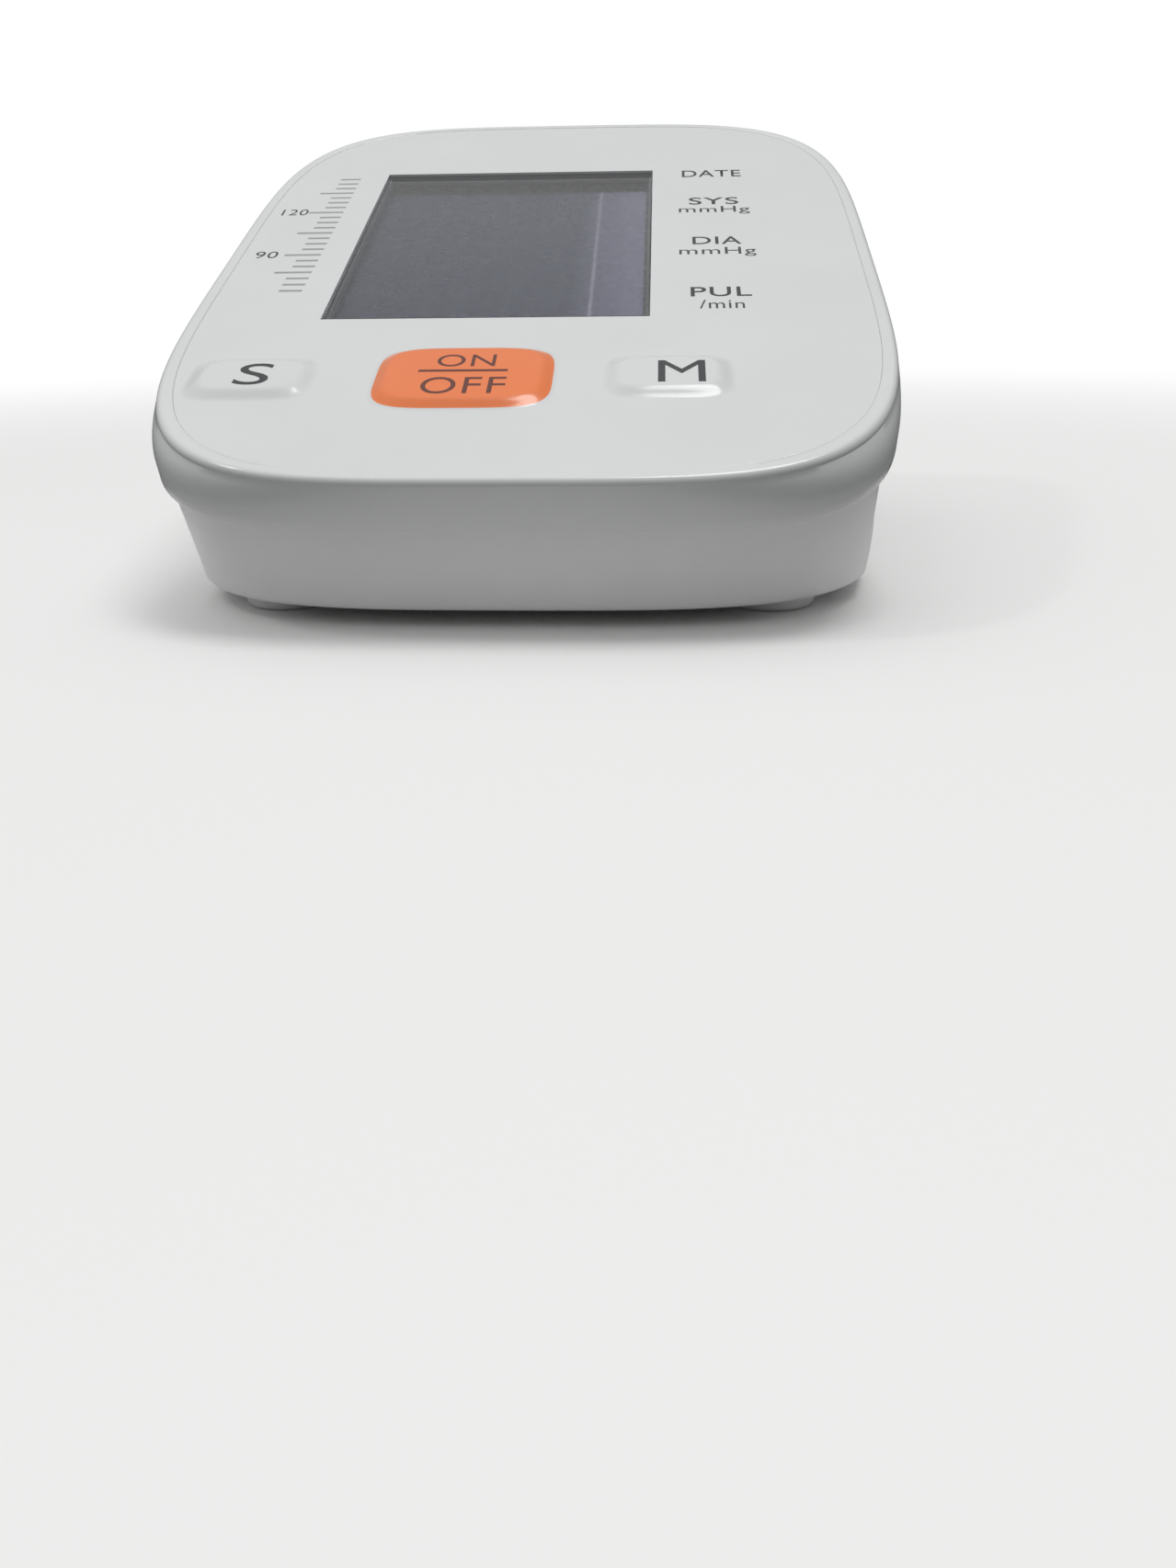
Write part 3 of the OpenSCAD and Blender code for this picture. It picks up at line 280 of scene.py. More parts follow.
def work(piece, operation, parts):
    """Adds forms to a piece, cuts them out or keeps what lies in them. They mustn't touch."""
    tool = joined(parts)
    take(piece)
    change = piece.modifiers.new("work", "BOOLEAN")
    change.operation = operation
    change.solver = "EXACT"
    change.object = tool
    bpy.ops.object.modifier_apply(modifier=change.name)
    bpy.data.objects.remove(tool)


def soften(piece, width, segments=2, angle=40):
    """Rounds the piece's sharp edges."""
    take(piece)
    edge = piece.modifiers.new("edges", "BEVEL")
    edge.width = width
    edge.segments = segments
    edge.limit_method = "ANGLE"
    edge.angle_limit = math.radians(angle)
    bpy.ops.object.modifier_apply(modifier=edge.name)


def done(piece, name, body, finish, stands_for=(), angle=35):
    """Names a shaped piece, brings it to metres and gives it its finish and its body."""
    take(piece)
    piece.name = piece.data.name = name
    bpy.ops.object.shade_smooth_by_angle(angle=math.radians(angle))
    piece.scale = (MM, MM, MM)
    bpy.ops.object.transform_apply(location=True, rotation=True, scale=True)
    if not piece.data.materials:
        piece.data.materials.append(finish)
    if body:
        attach(piece, body)
    if stands_for:
        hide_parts(*stands_for)


# ---------------------------------------------------------------- finishes

BLACK, WHITE = (0, 0, 0, 1), (1, 1, 1, 1)
GRAIN_HEIGHT = 0.2 * MM


def srgb(r, g, b):
    """A colour given in screen values."""
    return tuple((c / 255 / 12.92 if c <= 10.3 else ((c / 255 + 0.055) / 1.055) ** 2.4)
                 for c in (r, g, b)) + (1.0,)


def finish_tree(name):
    """A new finish, its nodes and its main shader."""
    material = bpy.data.materials.new(name)
    material.use_nodes = True
    tree = material.node_tree
    return material, tree, tree.nodes["Principled BSDF"]


def feed(tree, socket, value):
    """Links an output to a socket, or sets a plain value on it."""
    if isinstance(value, bpy.types.NodeSocket):
        tree.links.new(value, socket)
    else:
        socket.default_value = value


def own_space(tree):
    """Places in the piece's own space."""
    return tree.nodes.new("ShaderNodeTexCoord").outputs["Object"]


def place_noise(tree, scale, detail=3.0, where=None):
    """A noise laid in the piece's own space."""
    noise = tree.nodes.new("ShaderNodeTexNoise")
    noise.inputs["Scale"].default_value = scale
    noise.inputs["Detail"].default_value = detail
    tree.links.new(where or own_space(tree), noise.inputs["Vector"])
    return noise.outputs["Fac"]


def ramp(tree, fac, stops):
    """Colours along a value from 0 to 1."""
    node = tree.nodes.new("ShaderNodeValToRGB")
    first, last = node.color_ramp.elements
    first.position, first.color = stops[0]
    last.position, last.color = stops[-1]
    for position, colour in stops[1:-1]:
        node.color_ramp.elements.new(position).color = colour
    tree.links.new(fac, node.inputs["Fac"])
    return node.outputs["Color"]


def mapped(tree, value, given=(0, 1), wanted=(0, 1), soft=False):
    """Brings a value from one range into another."""
    node = tree.nodes.new("ShaderNodeMapRange")
    node.interpolation_type = "SMOOTHSTEP" if soft else "LINEAR"
    for socket, end in zip(("From Min", "From Max", "To Min", "To Max"), (*given, *wanted)):
        node.inputs[socket].default_value = end
    tree.links.new(value, node.inputs["Value"])
    return node.outputs["Result"]


def mixed(tree, fac, under, over, way="MIX"):
    """One colour laid over another."""
    node = tree.nodes.new("ShaderNodeMix")
    node.data_type, node.blend_type = "RGBA", way
    feed(tree, node.inputs["Factor"], fac)
    feed(tree, node.inputs[6], under)
    feed(tree, node.inputs[7], over)
    return node.outputs[2]


def mixed_shader(tree, fac, under, over, output):
    """Two shaders mixed on their way to the output."""
    node = tree.nodes.new("ShaderNodeMixShader")
    tree.links.new(fac, node.inputs["Fac"])
    tree.links.new(under, node.inputs[1])
    tree.links.new(over, node.inputs[2])
    tree.links.new(node.outputs["Shader"], tree.nodes[output].inputs["Surface"])


def multiplied(tree, a, b):
    """Two values multiplied."""
    node = tree.nodes.new("ShaderNodeMath")
    node.operation = "MULTIPLY"
    tree.links.new(a, node.inputs[0])
    tree.links.new(b, node.inputs[1])
    return node.outputs["Value"]


def raise_grain(tree, shader, height, strength):
    """A fine surface grain."""
    bump = tree.nodes.new("ShaderNodeBump")
    bump.inputs["Strength"].default_value = strength
    bump.inputs["Distance"].default_value = GRAIN_HEIGHT
    tree.links.new(height, bump.inputs["Height"])
    tree.links.new(bump.outputs["Normal"], shader.inputs["Normal"])


def moulded(name, light, dark, rough, grain, strength, coat=0.0, patch=60):
    """A moulded finish: a faint cloud of two shades, uneven gloss and a fine surface grain."""
    material, tree, shader = finish_tree(name)
    cloud = ramp(tree, place_noise(tree, patch, 4), [(0.3, srgb(*dark)), (0.7, srgb(*light))])
    gloss = mapped(tree, place_noise(tree, patch * 7, 3), wanted=(rough * 0.85, rough * 1.15))
    tree.links.new(cloud, shader.inputs["Base Color"])
    tree.links.new(gloss, shader.inputs["Roughness"])
    raise_grain(tree, shader, place_noise(tree, grain, 2), strength)
    shader.inputs["Coat Weight"].default_value = coat
    shader.inputs["Coat Roughness"].default_value = 0.06
    return material


# Each finish: its two shades, its roughness, the grain's fineness and its strength
white_gloss = moulded("white_gloss", (229, 231, 231), (226, 228, 228), 0.2, 900, 0.02, coat=0.25)
white_shell = moulded("white_shell", (239, 239, 240), (235, 235, 236), 0.34, 3200, 0.06)
orange_gloss = moulded("orange_gloss", (252, 126, 46), (249, 122, 42), 0.22, 900, 0.02, coat=0.3)
legend_grey = moulded("legend_grey", (52, 52, 56), (42, 42, 46), 0.45, 5000, 0.05)
legend_pale = moulded("legend_pale", (164, 163, 163), (156, 155, 155), 0.45, 5000, 0.05)
legend_brown = moulded("legend_brown", (106, 42, 20), (96, 36, 16), 0.45, 5000, 0.05)
dark_plastic = moulded("dark_plastic", (46, 46, 49), (38, 38, 41), 0.42, 2600, 0.1)
# Dark grey for the cover's white window flanks and ledge: painted shade, the shadow inside the
# window's opening
window_flank_shade = moulded("window_flank_shade", (64, 65, 72), (58, 59, 66), 0.5, 2600, 0.05)
manifold_plastic = moulded("manifold_plastic", (206, 204, 196), (196, 194, 186), 0.45, 2600, 0.1)
tube_silicone = moulded("tube_silicone", (222, 220, 212), (212, 210, 202), 0.5, 2000, 0.08)
light_guide = moulded("light_guide", (236, 236, 232), (228, 228, 224), 0.3, 1500, 0.03)
board_green = moulded("board_green", (32, 104, 68), (22, 84, 54), 0.35, 1400, 0.15, coat=0.3,
                      patch=220)
cell_jacket = moulded("cell_jacket", (62, 128, 96), (52, 114, 84), 0.28, 1800, 0.03, coat=0.4)


def brushed_metal():
    """Bare steel with fine marks drawn along one way."""
    material, tree, shader = finish_tree("bare_steel")
    stretch = tree.nodes.new("ShaderNodeMapping")
    stretch.inputs["Scale"].default_value = (300, 4000, 4000)
    tree.links.new(own_space(tree), stretch.inputs["Vector"])
    marks = place_noise(tree, 1, where=stretch.outputs["Vector"])
    shades = ramp(tree, marks, [(0.3, srgb(176, 178, 181)), (0.7, srgb(198, 200, 203))])
    tree.links.new(shades, shader.inputs["Base Color"])
    tree.links.new(mapped(tree, marks, wanted=(0.24, 0.4)), shader.inputs["Roughness"])
    raise_grain(tree, shader, marks, 0.08)
    shader.inputs["Metallic"].default_value = 1
    return material


def liquid_crystal():
    """The unlit display: grey-blue with a painted sheen that makes it paler to the right, painted
    shadow along its top and right edges, a painted reflection streak, and dust.
    """
    material, tree, shader = finish_tree("display_cell")
    square = tree.nodes.new("ShaderNodeMapping")
    square.vector_type = "TEXTURE"
    square.inputs["Location"].default_value = on_face(WINDOW_U, WINDOW_V) * MM
    square.inputs["Rotation"].default_value = (TILT, 0, 0)
    apart = tree.nodes.new("ShaderNodeSeparateXYZ")
    tree.links.new(own_space(tree), square.inputs["Vector"])
    tree.links.new(square.outputs["Vector"], apart.inputs["Vector"])

    def between(way, start, end):
        """From 0 to 1 between two places on the display, measured from the window's middle."""
        return mapped(tree, apart.outputs[way], (start * MM, end * MM))

    # Grey-blue tone with a painted sheen: paler towards the right, where light falls on the display
    tone_and_sheen = ramp(tree, between("X", -23.4, 23.4), [
        (0, srgb(30, 34, 50)), (0.74, srgb(44, 47, 63)), (0.86, srgb(78, 78, 97)),
        (1, srgb(99, 98, 117))])
    dust = ramp(tree, place_noise(tree, 1500, 1), [(0.72, BLACK), (0.78, (0.16, 0.16, 0.16, 1))])
    # A pale vertical streak of painted reflection
    reflection_streak = ramp(tree, between("X", 13.6, 15.6), [
        (0.3, BLACK), (0.5, (0.9, 0.9, 0.9, 1)), (0.7, BLACK)])
    # Painted shadow along the top edge and painted shade along the right edge, where the window's
    # frame shades the display
    top_shadow = ramp(tree, between("Y", 25.2, 26.4), [(0, BLACK), (1, WHITE)])
    right_edge_shade = ramp(tree, between("X", 22.2, 22.5), [(0, BLACK), (1, WHITE)])
    # Real dust, then the painted reflection streak and the painted shadow and shade at the edges,
    # laid over the tone
    for share, shade in ((dust, srgb(112, 112, 124)), (reflection_streak, srgb(134, 132, 146)),
                         (top_shadow, srgb(12, 12, 14)), (right_edge_shade, srgb(52, 52, 56))):
        tone_and_sheen = mixed(tree, share, tone_and_sheen, shade)
    tree.links.new(tone_and_sheen, shader.inputs["Base Color"])
    gloss = mapped(tree, place_noise(tree, 500), wanted=(0.22, 0.32))
    tree.links.new(gloss, shader.inputs["Roughness"])
    shader.inputs["Specular IOR Level"].default_value = 0.1
    return material


def clear_sheet():
    """Clear acrylic with faint wiping marks, which lets the lamps through."""
    material, tree, shader = finish_tree("clear_window")
    shader.inputs["Base Color"].default_value = srgb(240, 241, 243)
    shader.inputs["Transmission Weight"].default_value = 1
    shader.inputs["IOR"].default_value = 1.26
    gloss = mapped(tree, place_noise(tree, 300), wanted=(0.02, 0.07))
    tree.links.new(gloss, shader.inputs["Roughness"])
    path = tree.nodes.new("ShaderNodeLightPath")
    through = tree.nodes.new("ShaderNodeBsdfTransparent")
    mixed_shader(tree, path.outputs["Is Shadow Ray"], shader.outputs["BSDF"],
                 through.outputs["BSDF"], "Material Output")
    return material


bare_steel = brushed_metal()
display_cell = liquid_crystal()
clear_window = clear_sheet()

# Carried-over nodes: each gets its slot's finish, merged corners and crisp edges
MERGE_WITHIN = 2e-6
CRISP_ANGLE = math.radians(32)
carried_over = (
    (display_cell, ("display_glass",)),
    (light_guide, ("backlight",)),
    (dark_plastic, ("plunger_s", "plunger_power", "plunger_m", "controller_chip", "buzzer",
                    "pressure_sensor", "pump_head", "power_socket")),
    (bare_steel, ("pad_switches", "board_screws", "case_screws", "contact_plates",
                  "contact_springs", "pump_motor", "pump_eccentric", "pump_strap",
                  "strap_screws", "release_valve")),
    (board_green, ("circuit_board",)),
    (manifold_plastic, ("air_manifold",)),
    (cell_jacket, ("battery_cell_1", "battery_cell_2", "battery_cell_3", "battery_cell_4")),
    (tube_silicone, ("pump_tube", "socket_tube", "valve_tube", "sensor_tube")),
    (white_shell, ("air_socket",)))
for finish, nodes in carried_over:
    for node in nodes:
        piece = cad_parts[node]
        piece.data.materials.clear()
        piece.data.materials.append(finish)
        piece.modifiers.new("merge", "WELD").merge_threshold = MERGE_WITHIN
        piece.modifiers.new("crisp", "EDGE_SPLIT").split_angle = CRISP_ANGLE

# ---------------------------------------------------------------- top cover, panel and window

face_quarter = even_turns(FACE_HALF_W, FACE_HALF_L, FACE_POWER, 60)
face_turns = all_round(face_quarter)
pad_turns = all_round(even_turns(*CORES["pad_s"][1:], PAD_POWER, 24))


def face_ring(inset, level, power=FACE_POWER):
    """The face's outline, drawn in by an inset, at a level."""
    half_w, half_l = FACE_HALF_W - inset, FACE_HALF_L - inset
    return [on_face(*rounded(half_w, half_l, power, t), level) for t in face_turns]


def band_ring(level):
    """The band's outline, with corners that grow squarer down from the rim."""
    k = min((-RIM_ROUND - level) / 3.6, 1)
    return face_ring(0, level, FACE_POWER + (BAND_POWER - FACE_POWER) * (1 - (1 - k) ** 2))


def pad_ring(u, half_w, half_l, inset, level):
    """A pad's outline, drawn in by an inset, at a level."""
    return [on_face(u + x, PAD_V + y, level) for x, y in
            (rounded(half_w - inset, half_l - inset, PAD_POWER, t) for t in pad_turns)]


def pad_hole(u, half_w, half_l, gap, low, high):
    """The room a pad needs in the plate or in the panel."""
    return loft("pad_hole", [pad_ring(u, half_w, half_l, -gap, level) for level in (low, high)])


def window_ring(margin, level):
    """The window's outline, let out by a margin, at a level."""
    a, b = WINDOW_W / 2 + margin, WINDOW_L / 2 + margin
    return [on_face(WINDOW_U + x, WINDOW_V + y, level)
            for x, y in ((a, b), (-a, b), (-a, -b), (a, -b))]


rim = [(RIM_ROUND * (1 - math.cos(a)), -RIM_ROUND * (1 - math.sin(a)))
       for a in (math.radians(9 * i) for i in range(11))]
band_levels = (-BAND + 0.2, -5.6, -4.5, -3.9, -3.3, -2.7, -2.1, -1.5)
cover = loft("top_cover", [
    face_ring(BAND_WALL, PLATE_BOTTOM), face_ring(BAND_WALL, -BAND),
    face_ring(0.2, -BAND, BAND_POWER), face_ring(0.06, -BAND + 0.06, BAND_POWER),
    *(band_ring(level) for level in band_levels),
    *(face_ring(*at) for at in rim), face_ring(RIM_W - 0.1, -0.02),
    face_ring(RIM_W, PANEL_TOP), face_ring(RIM_W, PANEL_BOTTOM)])

# Posts under the plate for the case's screws and the board's, and the bores in them
posts, bores = [], []
for side, u in zip((-1, 1), BOARD_POST_US):
    x = side * POST_X
    for y, split in zip(POST_YS, POST_TOPS):
        posts.append(rod((x, y, split + 0.1), (x, y, level_z(y, PLATE_BOTTOM) + 3), POST_R))
    for v in BOARD_POST_VS:
        posts.append(rod(on_face(u, v, BOARD_LEVEL), on_face(u, v, PLATE_BOTTOM + 0.2), 2.6))
        bores.append(rod(on_face(u, v, -10), on_face(u, v, -5), 1))
    for y, split in zip(POST_YS, POST_TOPS):
        bores.append(rod((x, y, split - 1), (x, y, split + 9.5), 1.2))
posts = joined(posts)
work(posts, "DIFFERENCE", [face_block(0, 0, 160, 200, PLATE_BOTTOM + 0.3, 60)])
work(cover, "UNION", [posts])

work(cover, "DIFFERENCE", [window_block(LEDGE_W, PANEL_BOTTOM - LEDGE_DEPTH, 1)])
work(cover, "DIFFERENCE", [
    window_block(-0.5, PLATE_BOTTOM - 1, 1),
    *(pad_hole(*core, 0.2, PLATE_BOTTOM - 1, 1) for core in CORES.values()), *bores])

# The window's flanks and its ledge are painted dark grey: painted shade inside the window's opening
cover.data.materials.append(white_gloss)
cover.data.materials.append(window_flank_shade)
face_up = on_face(0, 0, 1) - on_face(0, 0, 0)
for face in cover.data.polygons:
    u, v, level = off_face(face.center)
    by_window = (abs(u - WINDOW_U) < WINDOW_W / 2 + 1.7
                 and abs(v - WINDOW_V) < WINDOW_L / 2 + 1.7 and level < PANEL_BOTTOM)
    flank = abs(face.normal.dot(face_up)) < 0.1
    ledge = abs(level - PANEL_BOTTOM + LEDGE_DEPTH) < 0.05
    face.material_index = 1 if by_window and (flank or ledge) else 0
done(cover, "housing_cover", "housing", white_gloss, ["top_cover"])

panel = loft("face_panel", [
    face_ring(2.14, PANEL_BOTTOM), face_ring(2.115, PANEL_TOP - 0.06),
    face_ring(2.13, PANEL_TOP - 0.02), face_ring(2.17, PANEL_TOP)])
work(panel, "DIFFERENCE", [
    window_block(WINDOW_GAP, -3, 2),
    *(pad_hole(u, half_w, half_l, 0, -3, 2) for u, half_w, half_l, flank in FILMS.values())])
done(panel, "gloss_panel", "housing", white_gloss, ["face_panel"], angle=15)

window = loft("display_window", [
    window_ring(FLANGE_W, FLANGE_BOTTOM), window_ring(FLANGE_W, PANEL_BOTTOM),
    window_ring(0, PANEL_BOTTOM), window_ring(0, PANEL_TOP)])
soften(window, 0.04, 1)
done(window, "window_sheet", "housing", clear_window, ["display_window"], angle=12)

# ---------------------------------------------------------------- pads

FLANK_STEPS = 14
# Insets and levels of a pad's body: flange, wall and rounded top
CORE_PROFILE = ((-1, -3.75), (-1, -2.95), (0.1, -2.95), (0.1, -0.75), (0.6, -0.62))


def film_dome(node, finish, white_ring=0.0):
    """A pad's raised film: a soft flank out of the panel's surface and a flat top."""
    u, half_w, half_l, flank = FILMS[node]
    profile = [(0.15, PANEL_TOP - 0.5), (0.05, PANEL_TOP - 0.2)]
    for i in range(FLANK_STEPS + 1):
        inset = flank * i / FLANK_STEPS
        profile.append((inset, PANEL_TOP + (PAD_TOP - PANEL_TOP) * soft_step(inset / flank)))
    profile.append((flank + 1.2, PAD_TOP))
    dome = loft(node, [pad_ring(u, half_w, half_l, *at) for at in profile])
    dome.data.materials.append(white_gloss)
    if white_ring:
        dome.data.materials.append(finish)
        for face in dome.data.polygons:
            x, y, level = off_face(face.center)
            inside = (abs((x - u) / (half_w - white_ring)) ** PAD_POWER
                      + abs((y - PAD_V) / (half_l - white_ring)) ** PAD_POWER < 1)
            face.material_index = 1 if inside and face.normal.z > 0 else 0
    done(dome, node + "_film", None, finish, [node], angle=60)
    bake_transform(dome)


def pad_core(node, finish):
    """The body under a pad's film, with the flange that keeps it in and the stem on the switch."""
    core = loft(node + "_core", [pad_ring(*CORES[node], *at) for at in CORE_PROFILE])
    u = CORES[node][0]
    work(core, "UNION", [rod(on_face(u, PAD_V, -4.4), on_face(u, PAD_V, -3.6), 2.4)])
    done(core, node + "_core", node, finish, [node])


film_dome("pad_s", white_gloss)
film_dome("pad_power", orange_gloss, white_ring=0.75)
film_dome("pad_m", white_gloss)
pad_core("pad_s", white_gloss)
pad_core("pad_power", orange_gloss)
pad_core("pad_m", white_gloss)

# ---------------------------------------------------------------- printed legends

# The ink stands a little over what it is printed on
INK = 0.012


def legend(name, words, u, v, w, h, ink, body="housing", level=PANEL_TOP, slant=0.0, weight=0.0):
    """Plain printed lettering, sized to fit a place on the face."""
    put_down()
    bpy.ops.object.text_add()
    piece = bpy.context.object
    piece.data.body = words
    piece.data.offset = weight
    piece.data.resolution_u = 6
    piece.data.space_character = 1.08
    bpy.ops.object.convert(target="MESH")
    piece = bpy.context.object
    xs = [vertex.co.x for vertex in piece.data.vertices]
    ys = [vertex.co.y for vertex in piece.data.vertices]
    for vertex in piece.data.vertices:
        x = (vertex.co.x - min(xs)) / (max(xs) - min(xs)) - 0.5
        y = (vertex.co.y - min(ys)) / (max(ys) - min(ys)) - 0.5
        vertex.co = (x * (w - abs(slant) * h) + slant * y * h, y * h, 0)
    for vertex in piece.data.vertices:
        vertex.co = on_face(u + vertex.co.x, v + vertex.co.y, level + INK)
    done(piece, name, body, ink)


def print_bars(name, bars, ink, body="housing", level=PANEL_TOP):
    """Printed lines, each from its left end to its right end at its own place up the face."""
    strips = []
    for u0, u1, v, thick in bars:
        put_down()
        bpy.ops.mesh.primitive_plane_add(size=1)
        strip = bpy.context.object
        for vertex in strip.data.vertices:
            x, y, z = vertex.co
            vertex.co = on_face(u1 if x > 0 else u0, v + (thick / 2 if y > 0 else -thick / 2),
                                level + INK)
        strips.append(strip)
    done(joined(strips), name, body, ink)


# The pressure scale at the window's left
TICKS, LONG_TICKS, TICK_END, TICK_TOP, TICK_PITCH = 22, (4, 8, 12, 16, 19), -35.4, 37.4, 2.333
print_bars("scale_ticks", [
    (TICK_END - (5.8 if i + 1 in LONG_TICKS else 3.5), TICK_END, TICK_TOP - TICK_PITCH * i, 0.65)
    for i in range(TICKS)], legend_pale)
legend("scale_120", "120", -43.6, 21.3, 4.4, 2.7, legend_grey)
legend("scale_90", "90", -44.1, 2.6, 3.6, 2.7, legend_grey)

# The readings' names and units in one column at the window's right: place up, width and height
for name, words, v, w, h in (
        ("name_date", "DATE", 37.6, 10.2, 3.4), ("name_sys", "SYS", 23.9, 8.2, 3.3),
        ("unit_sys", "mmHg", 19.6, 11.6, 3.6), ("name_dia", "DIA", 6.3, 7.6, 3.1),
        ("unit_dia", "mmHg", 1.6, 11.8, 3.7), ("name_pul", "PUL", -13.6, 8.8, 3.4),
        ("unit_pul", "/min", -18.0, 6.4, 3.0)):
    legend(name, words, 26.6, v, w, h, legend_grey, weight=0.008 if words.isupper() else 0)

legend("pad_s_letter", "S", -35.3, -40.9, 4.9, 6.1, legend_grey, "pad_s", PAD_TOP, slant=0.06)
legend("pad_m_letter", "M", 20.6, -40.9, 6.1, 6.1, legend_grey, "pad_m", PAD_TOP)
legend("pad_power_on", "ON", -7.64, -37.4, 7.75, 3.5, legend_brown, "pad_power", PAD_TOP)
legend("pad_power_off", "OFF", -7.35, -44.5, 10.9, 4.6, legend_brown, "pad_power", PAD_TOP)
print_bars("pad_power_line", [(-13.65, -1.94, -40.35, 0.62)], legend_brown, "pad_power", PAD_TOP)

# ---------------------------------------------------------------- lower case

# The share of the wall's height that the rounded bottom edge takes
ROUND_SHARE = BASE_ROUND / (level_z(0, -BAND) - BASE_Z)
WALL_RINGS = 15


def recess_front(z):
    """Where the finger recess starts, at a height."""
    return RECESS_FRONT + RECESS_SWEEP * (1 - climbed(z, 4, 14) ** 2)


def recess_back(z):
    """Where the finger recess ends, at a height."""
    return RECESS_BACK - RECESS_SWEEP * (1 - climbed(z, 6, level_z(RECESS_BACK, -BAND)) ** 2)


def wall_point(turn, share):
    """A point of the outer wall, at a share of the way from the underside to the top edge."""
    inset = 0
    if share < ROUND_SHARE:
        inset = BASE_ROUND * (1 - math.sin(math.acos(1 - share / ROUND_SHARE)))
    x, y = rounded(BASE_HALF_W - inset, BASE_HALF_L - inset, BASE_POWER, turn)
    top = rounded(FACE_HALF_W - STEP, FACE_HALF_L - STEP, BAND_POWER, turn)
    return Vector((x, y + BASE_Y, BASE_Z)).lerp(on_face(*top, -BAND), share)


# Turns along half of the outline, from the front round the right side to the back
half_turns = [-t for t in reversed(face_quarter)][:-1] + list(face_quarter)
wall_shares = [0, 0.0028, 0.011, 0.025, 0.044, ROUND_SHARE] + [
    ROUND_SHARE + (1 - ROUND_SHARE) * (i / WALL_RINGS) for i in range(1, WALL_RINGS + 1)]


def turn_at(place):
    """The turn at a place on half of the outline, given as a share of its run."""
    at = place * (len(half_turns) - 1)
    k = min(int(at), len(half_turns) - 2)
    return half_turns[k] + (at - k) * (half_turns[k + 1] - half_turns[k])


def edge_place(share, edge):
    """Where the recess's edge crosses a ring of the wall."""
    low, high = 0.05, 0.95
    for _ in range(40):
        middle = (low + high) / 2
        at = wall_point(turn_at(middle), share)
        if at.y < edge(at.z):
            low = middle
        else:
            high = middle
    return (low + high) / 2


# Places of the ring's points, close together where the recess's edges step in
FRONT_AT, BACK_AT = edge_place(0.6, recess_front), edge_place(0.6, recess_back)
EDGE_HALF = 0.0042
EDGE_PLACES = (-EDGE_HALF, -0.0028, -0.0014, 0, 0.0014, 0.0028, EDGE_HALF)
# Behind its front edge the recess grows deep from this place on, and over this run
DEEP_FROM, DEEP_OVER = 0.05, 0.09
side_places = sorted(
    [FRONT_AT * i / 30 for i in range(30)] + [FRONT_AT + d for d in EDGE_PLACES]
    + [FRONT_AT + (BACK_AT - FRONT_AT) * i / 40 for i in range(1, 40)]
    + [BACK_AT + d for d in EDGE_PLACES]
    + [BACK_AT + (1 - BACK_AT) * i / 30 for i in range(1, 31)])
side_places = [p for i, p in enumerate(side_places) if i == 0 or p - side_places[i - 1] > 0.0012]


def shifted(place, front, back):
    """A place moved along with the recess's edges, which lie elsewhere on each ring."""
    if place <= FRONT_AT - EDGE_HALF:
        return place + front * place / FRONT_AT
    if place < FRONT_AT + EDGE_HALF + 0.0001:
        return place + front
    if place < BACK_AT - EDGE_HALF - 0.0001:
        k = (place - FRONT_AT) / (BACK_AT - FRONT_AT)
        return place + front * (1 - k) + back * k
    if place < BACK_AT + EDGE_HALF + 0.0001:
        return place + back
    return place + back * (1 - place) / (1 - BACK_AT)


def recess_depth(place, share):
    """How far the wall stands in at a place of a ring."""
    in_front, in_back = place - FRONT_AT + EDGE_HALF, BACK_AT + EDGE_HALF - place
    depth = RECESS_LOW + (RECESS_HIGH - RECESS_LOW) * share
    stepped = RECESS_STEP * soft_step(in_front / (2 * EDGE_HALF))
    deep = (depth - RECESS_STEP) * soft_step((in_front - DEEP_FROM) / DEEP_OVER)
    return (stepped + deep) * soft_step(in_back / (2 * EDGE_HALF))


def case_ring(share, inner=None):
    """A ring of the outer wall with its recesses, or of the plain form inside it."""
    front = edge_place(share, recess_front) - FRONT_AT
    back = edge_place(share, recess_back) - BACK_AT
    half = []
    for place in side_places:
        turn = turn_at(shifted(place, front, back))
        if inner:
            at = inner(turn)
        else:
            at = wall_point(turn, share)
            at.x -= recess_depth(place, share)
        half.append(at)
    return half + [Vector((-at.x, at.y, at.z)) for at in reversed(half[1:-1])]


def top_edge(inset, level):
    """The lip's outline."""
    half_w, half_l = FACE_HALF_W - inset, FACE_HALF_L - inset
    return lambda turn: on_face(*rounded(half_w, half_l, FACE_POWER, turn), level)


def floor_edge(turn):
    """The outline of the floor inside the case."""
    x, y = rounded(BASE_HALF_W - FLOOR_IN, BASE_HALF_L - FLOOR_IN, BASE_POWER, turn)
    return Vector((x, y + BASE_Y, FLOOR_TOP))


lip = ((LIP_OUT, -BAND), (LIP_OUT, -BAND + LIP_H), (LIP_IN, -BAND + LIP_H), (LIP_IN, -BAND))
case = loft("lower_case", [case_ring(share) for share in wall_shares]
            + [case_ring(1, top_edge(*at)) for at in lip] + [case_ring(1, floor_edge)])

# The thick sill over the battery door, kept inside the wall, and the bay's walls and roof
SILL_HALF = 35.65
sill = block(-SILL_HALF, SILL_HALF, DOOR_FRONT - DOOR_GAP - 2, 80, FLOOR_TOP - SUNK,
             FLOOR_TOP + 1.4)
inside_wall = [rounded(BASE_HALF_W - BASE_ROUND, BASE_HALF_L - BASE_ROUND, BASE_POWER, t)
               for t in face_turns]
work(sill, "INTERSECT", [loft("sill_room", [[Vector((x, y + BASE_Y, z)) for x, y in inside_wall]
                                            for z in (0, 8)])])
work(case, "UNION", [sill])
work(case, "UNION", [block(-BAY_HALF - BAY_WALL, BAY_HALF + BAY_WALL, BAY_FRONT - BAY_WALL,
                           BAY_BACK + BAY_WALL, FLOOR_TOP - SUNK, BAY_TOP)])

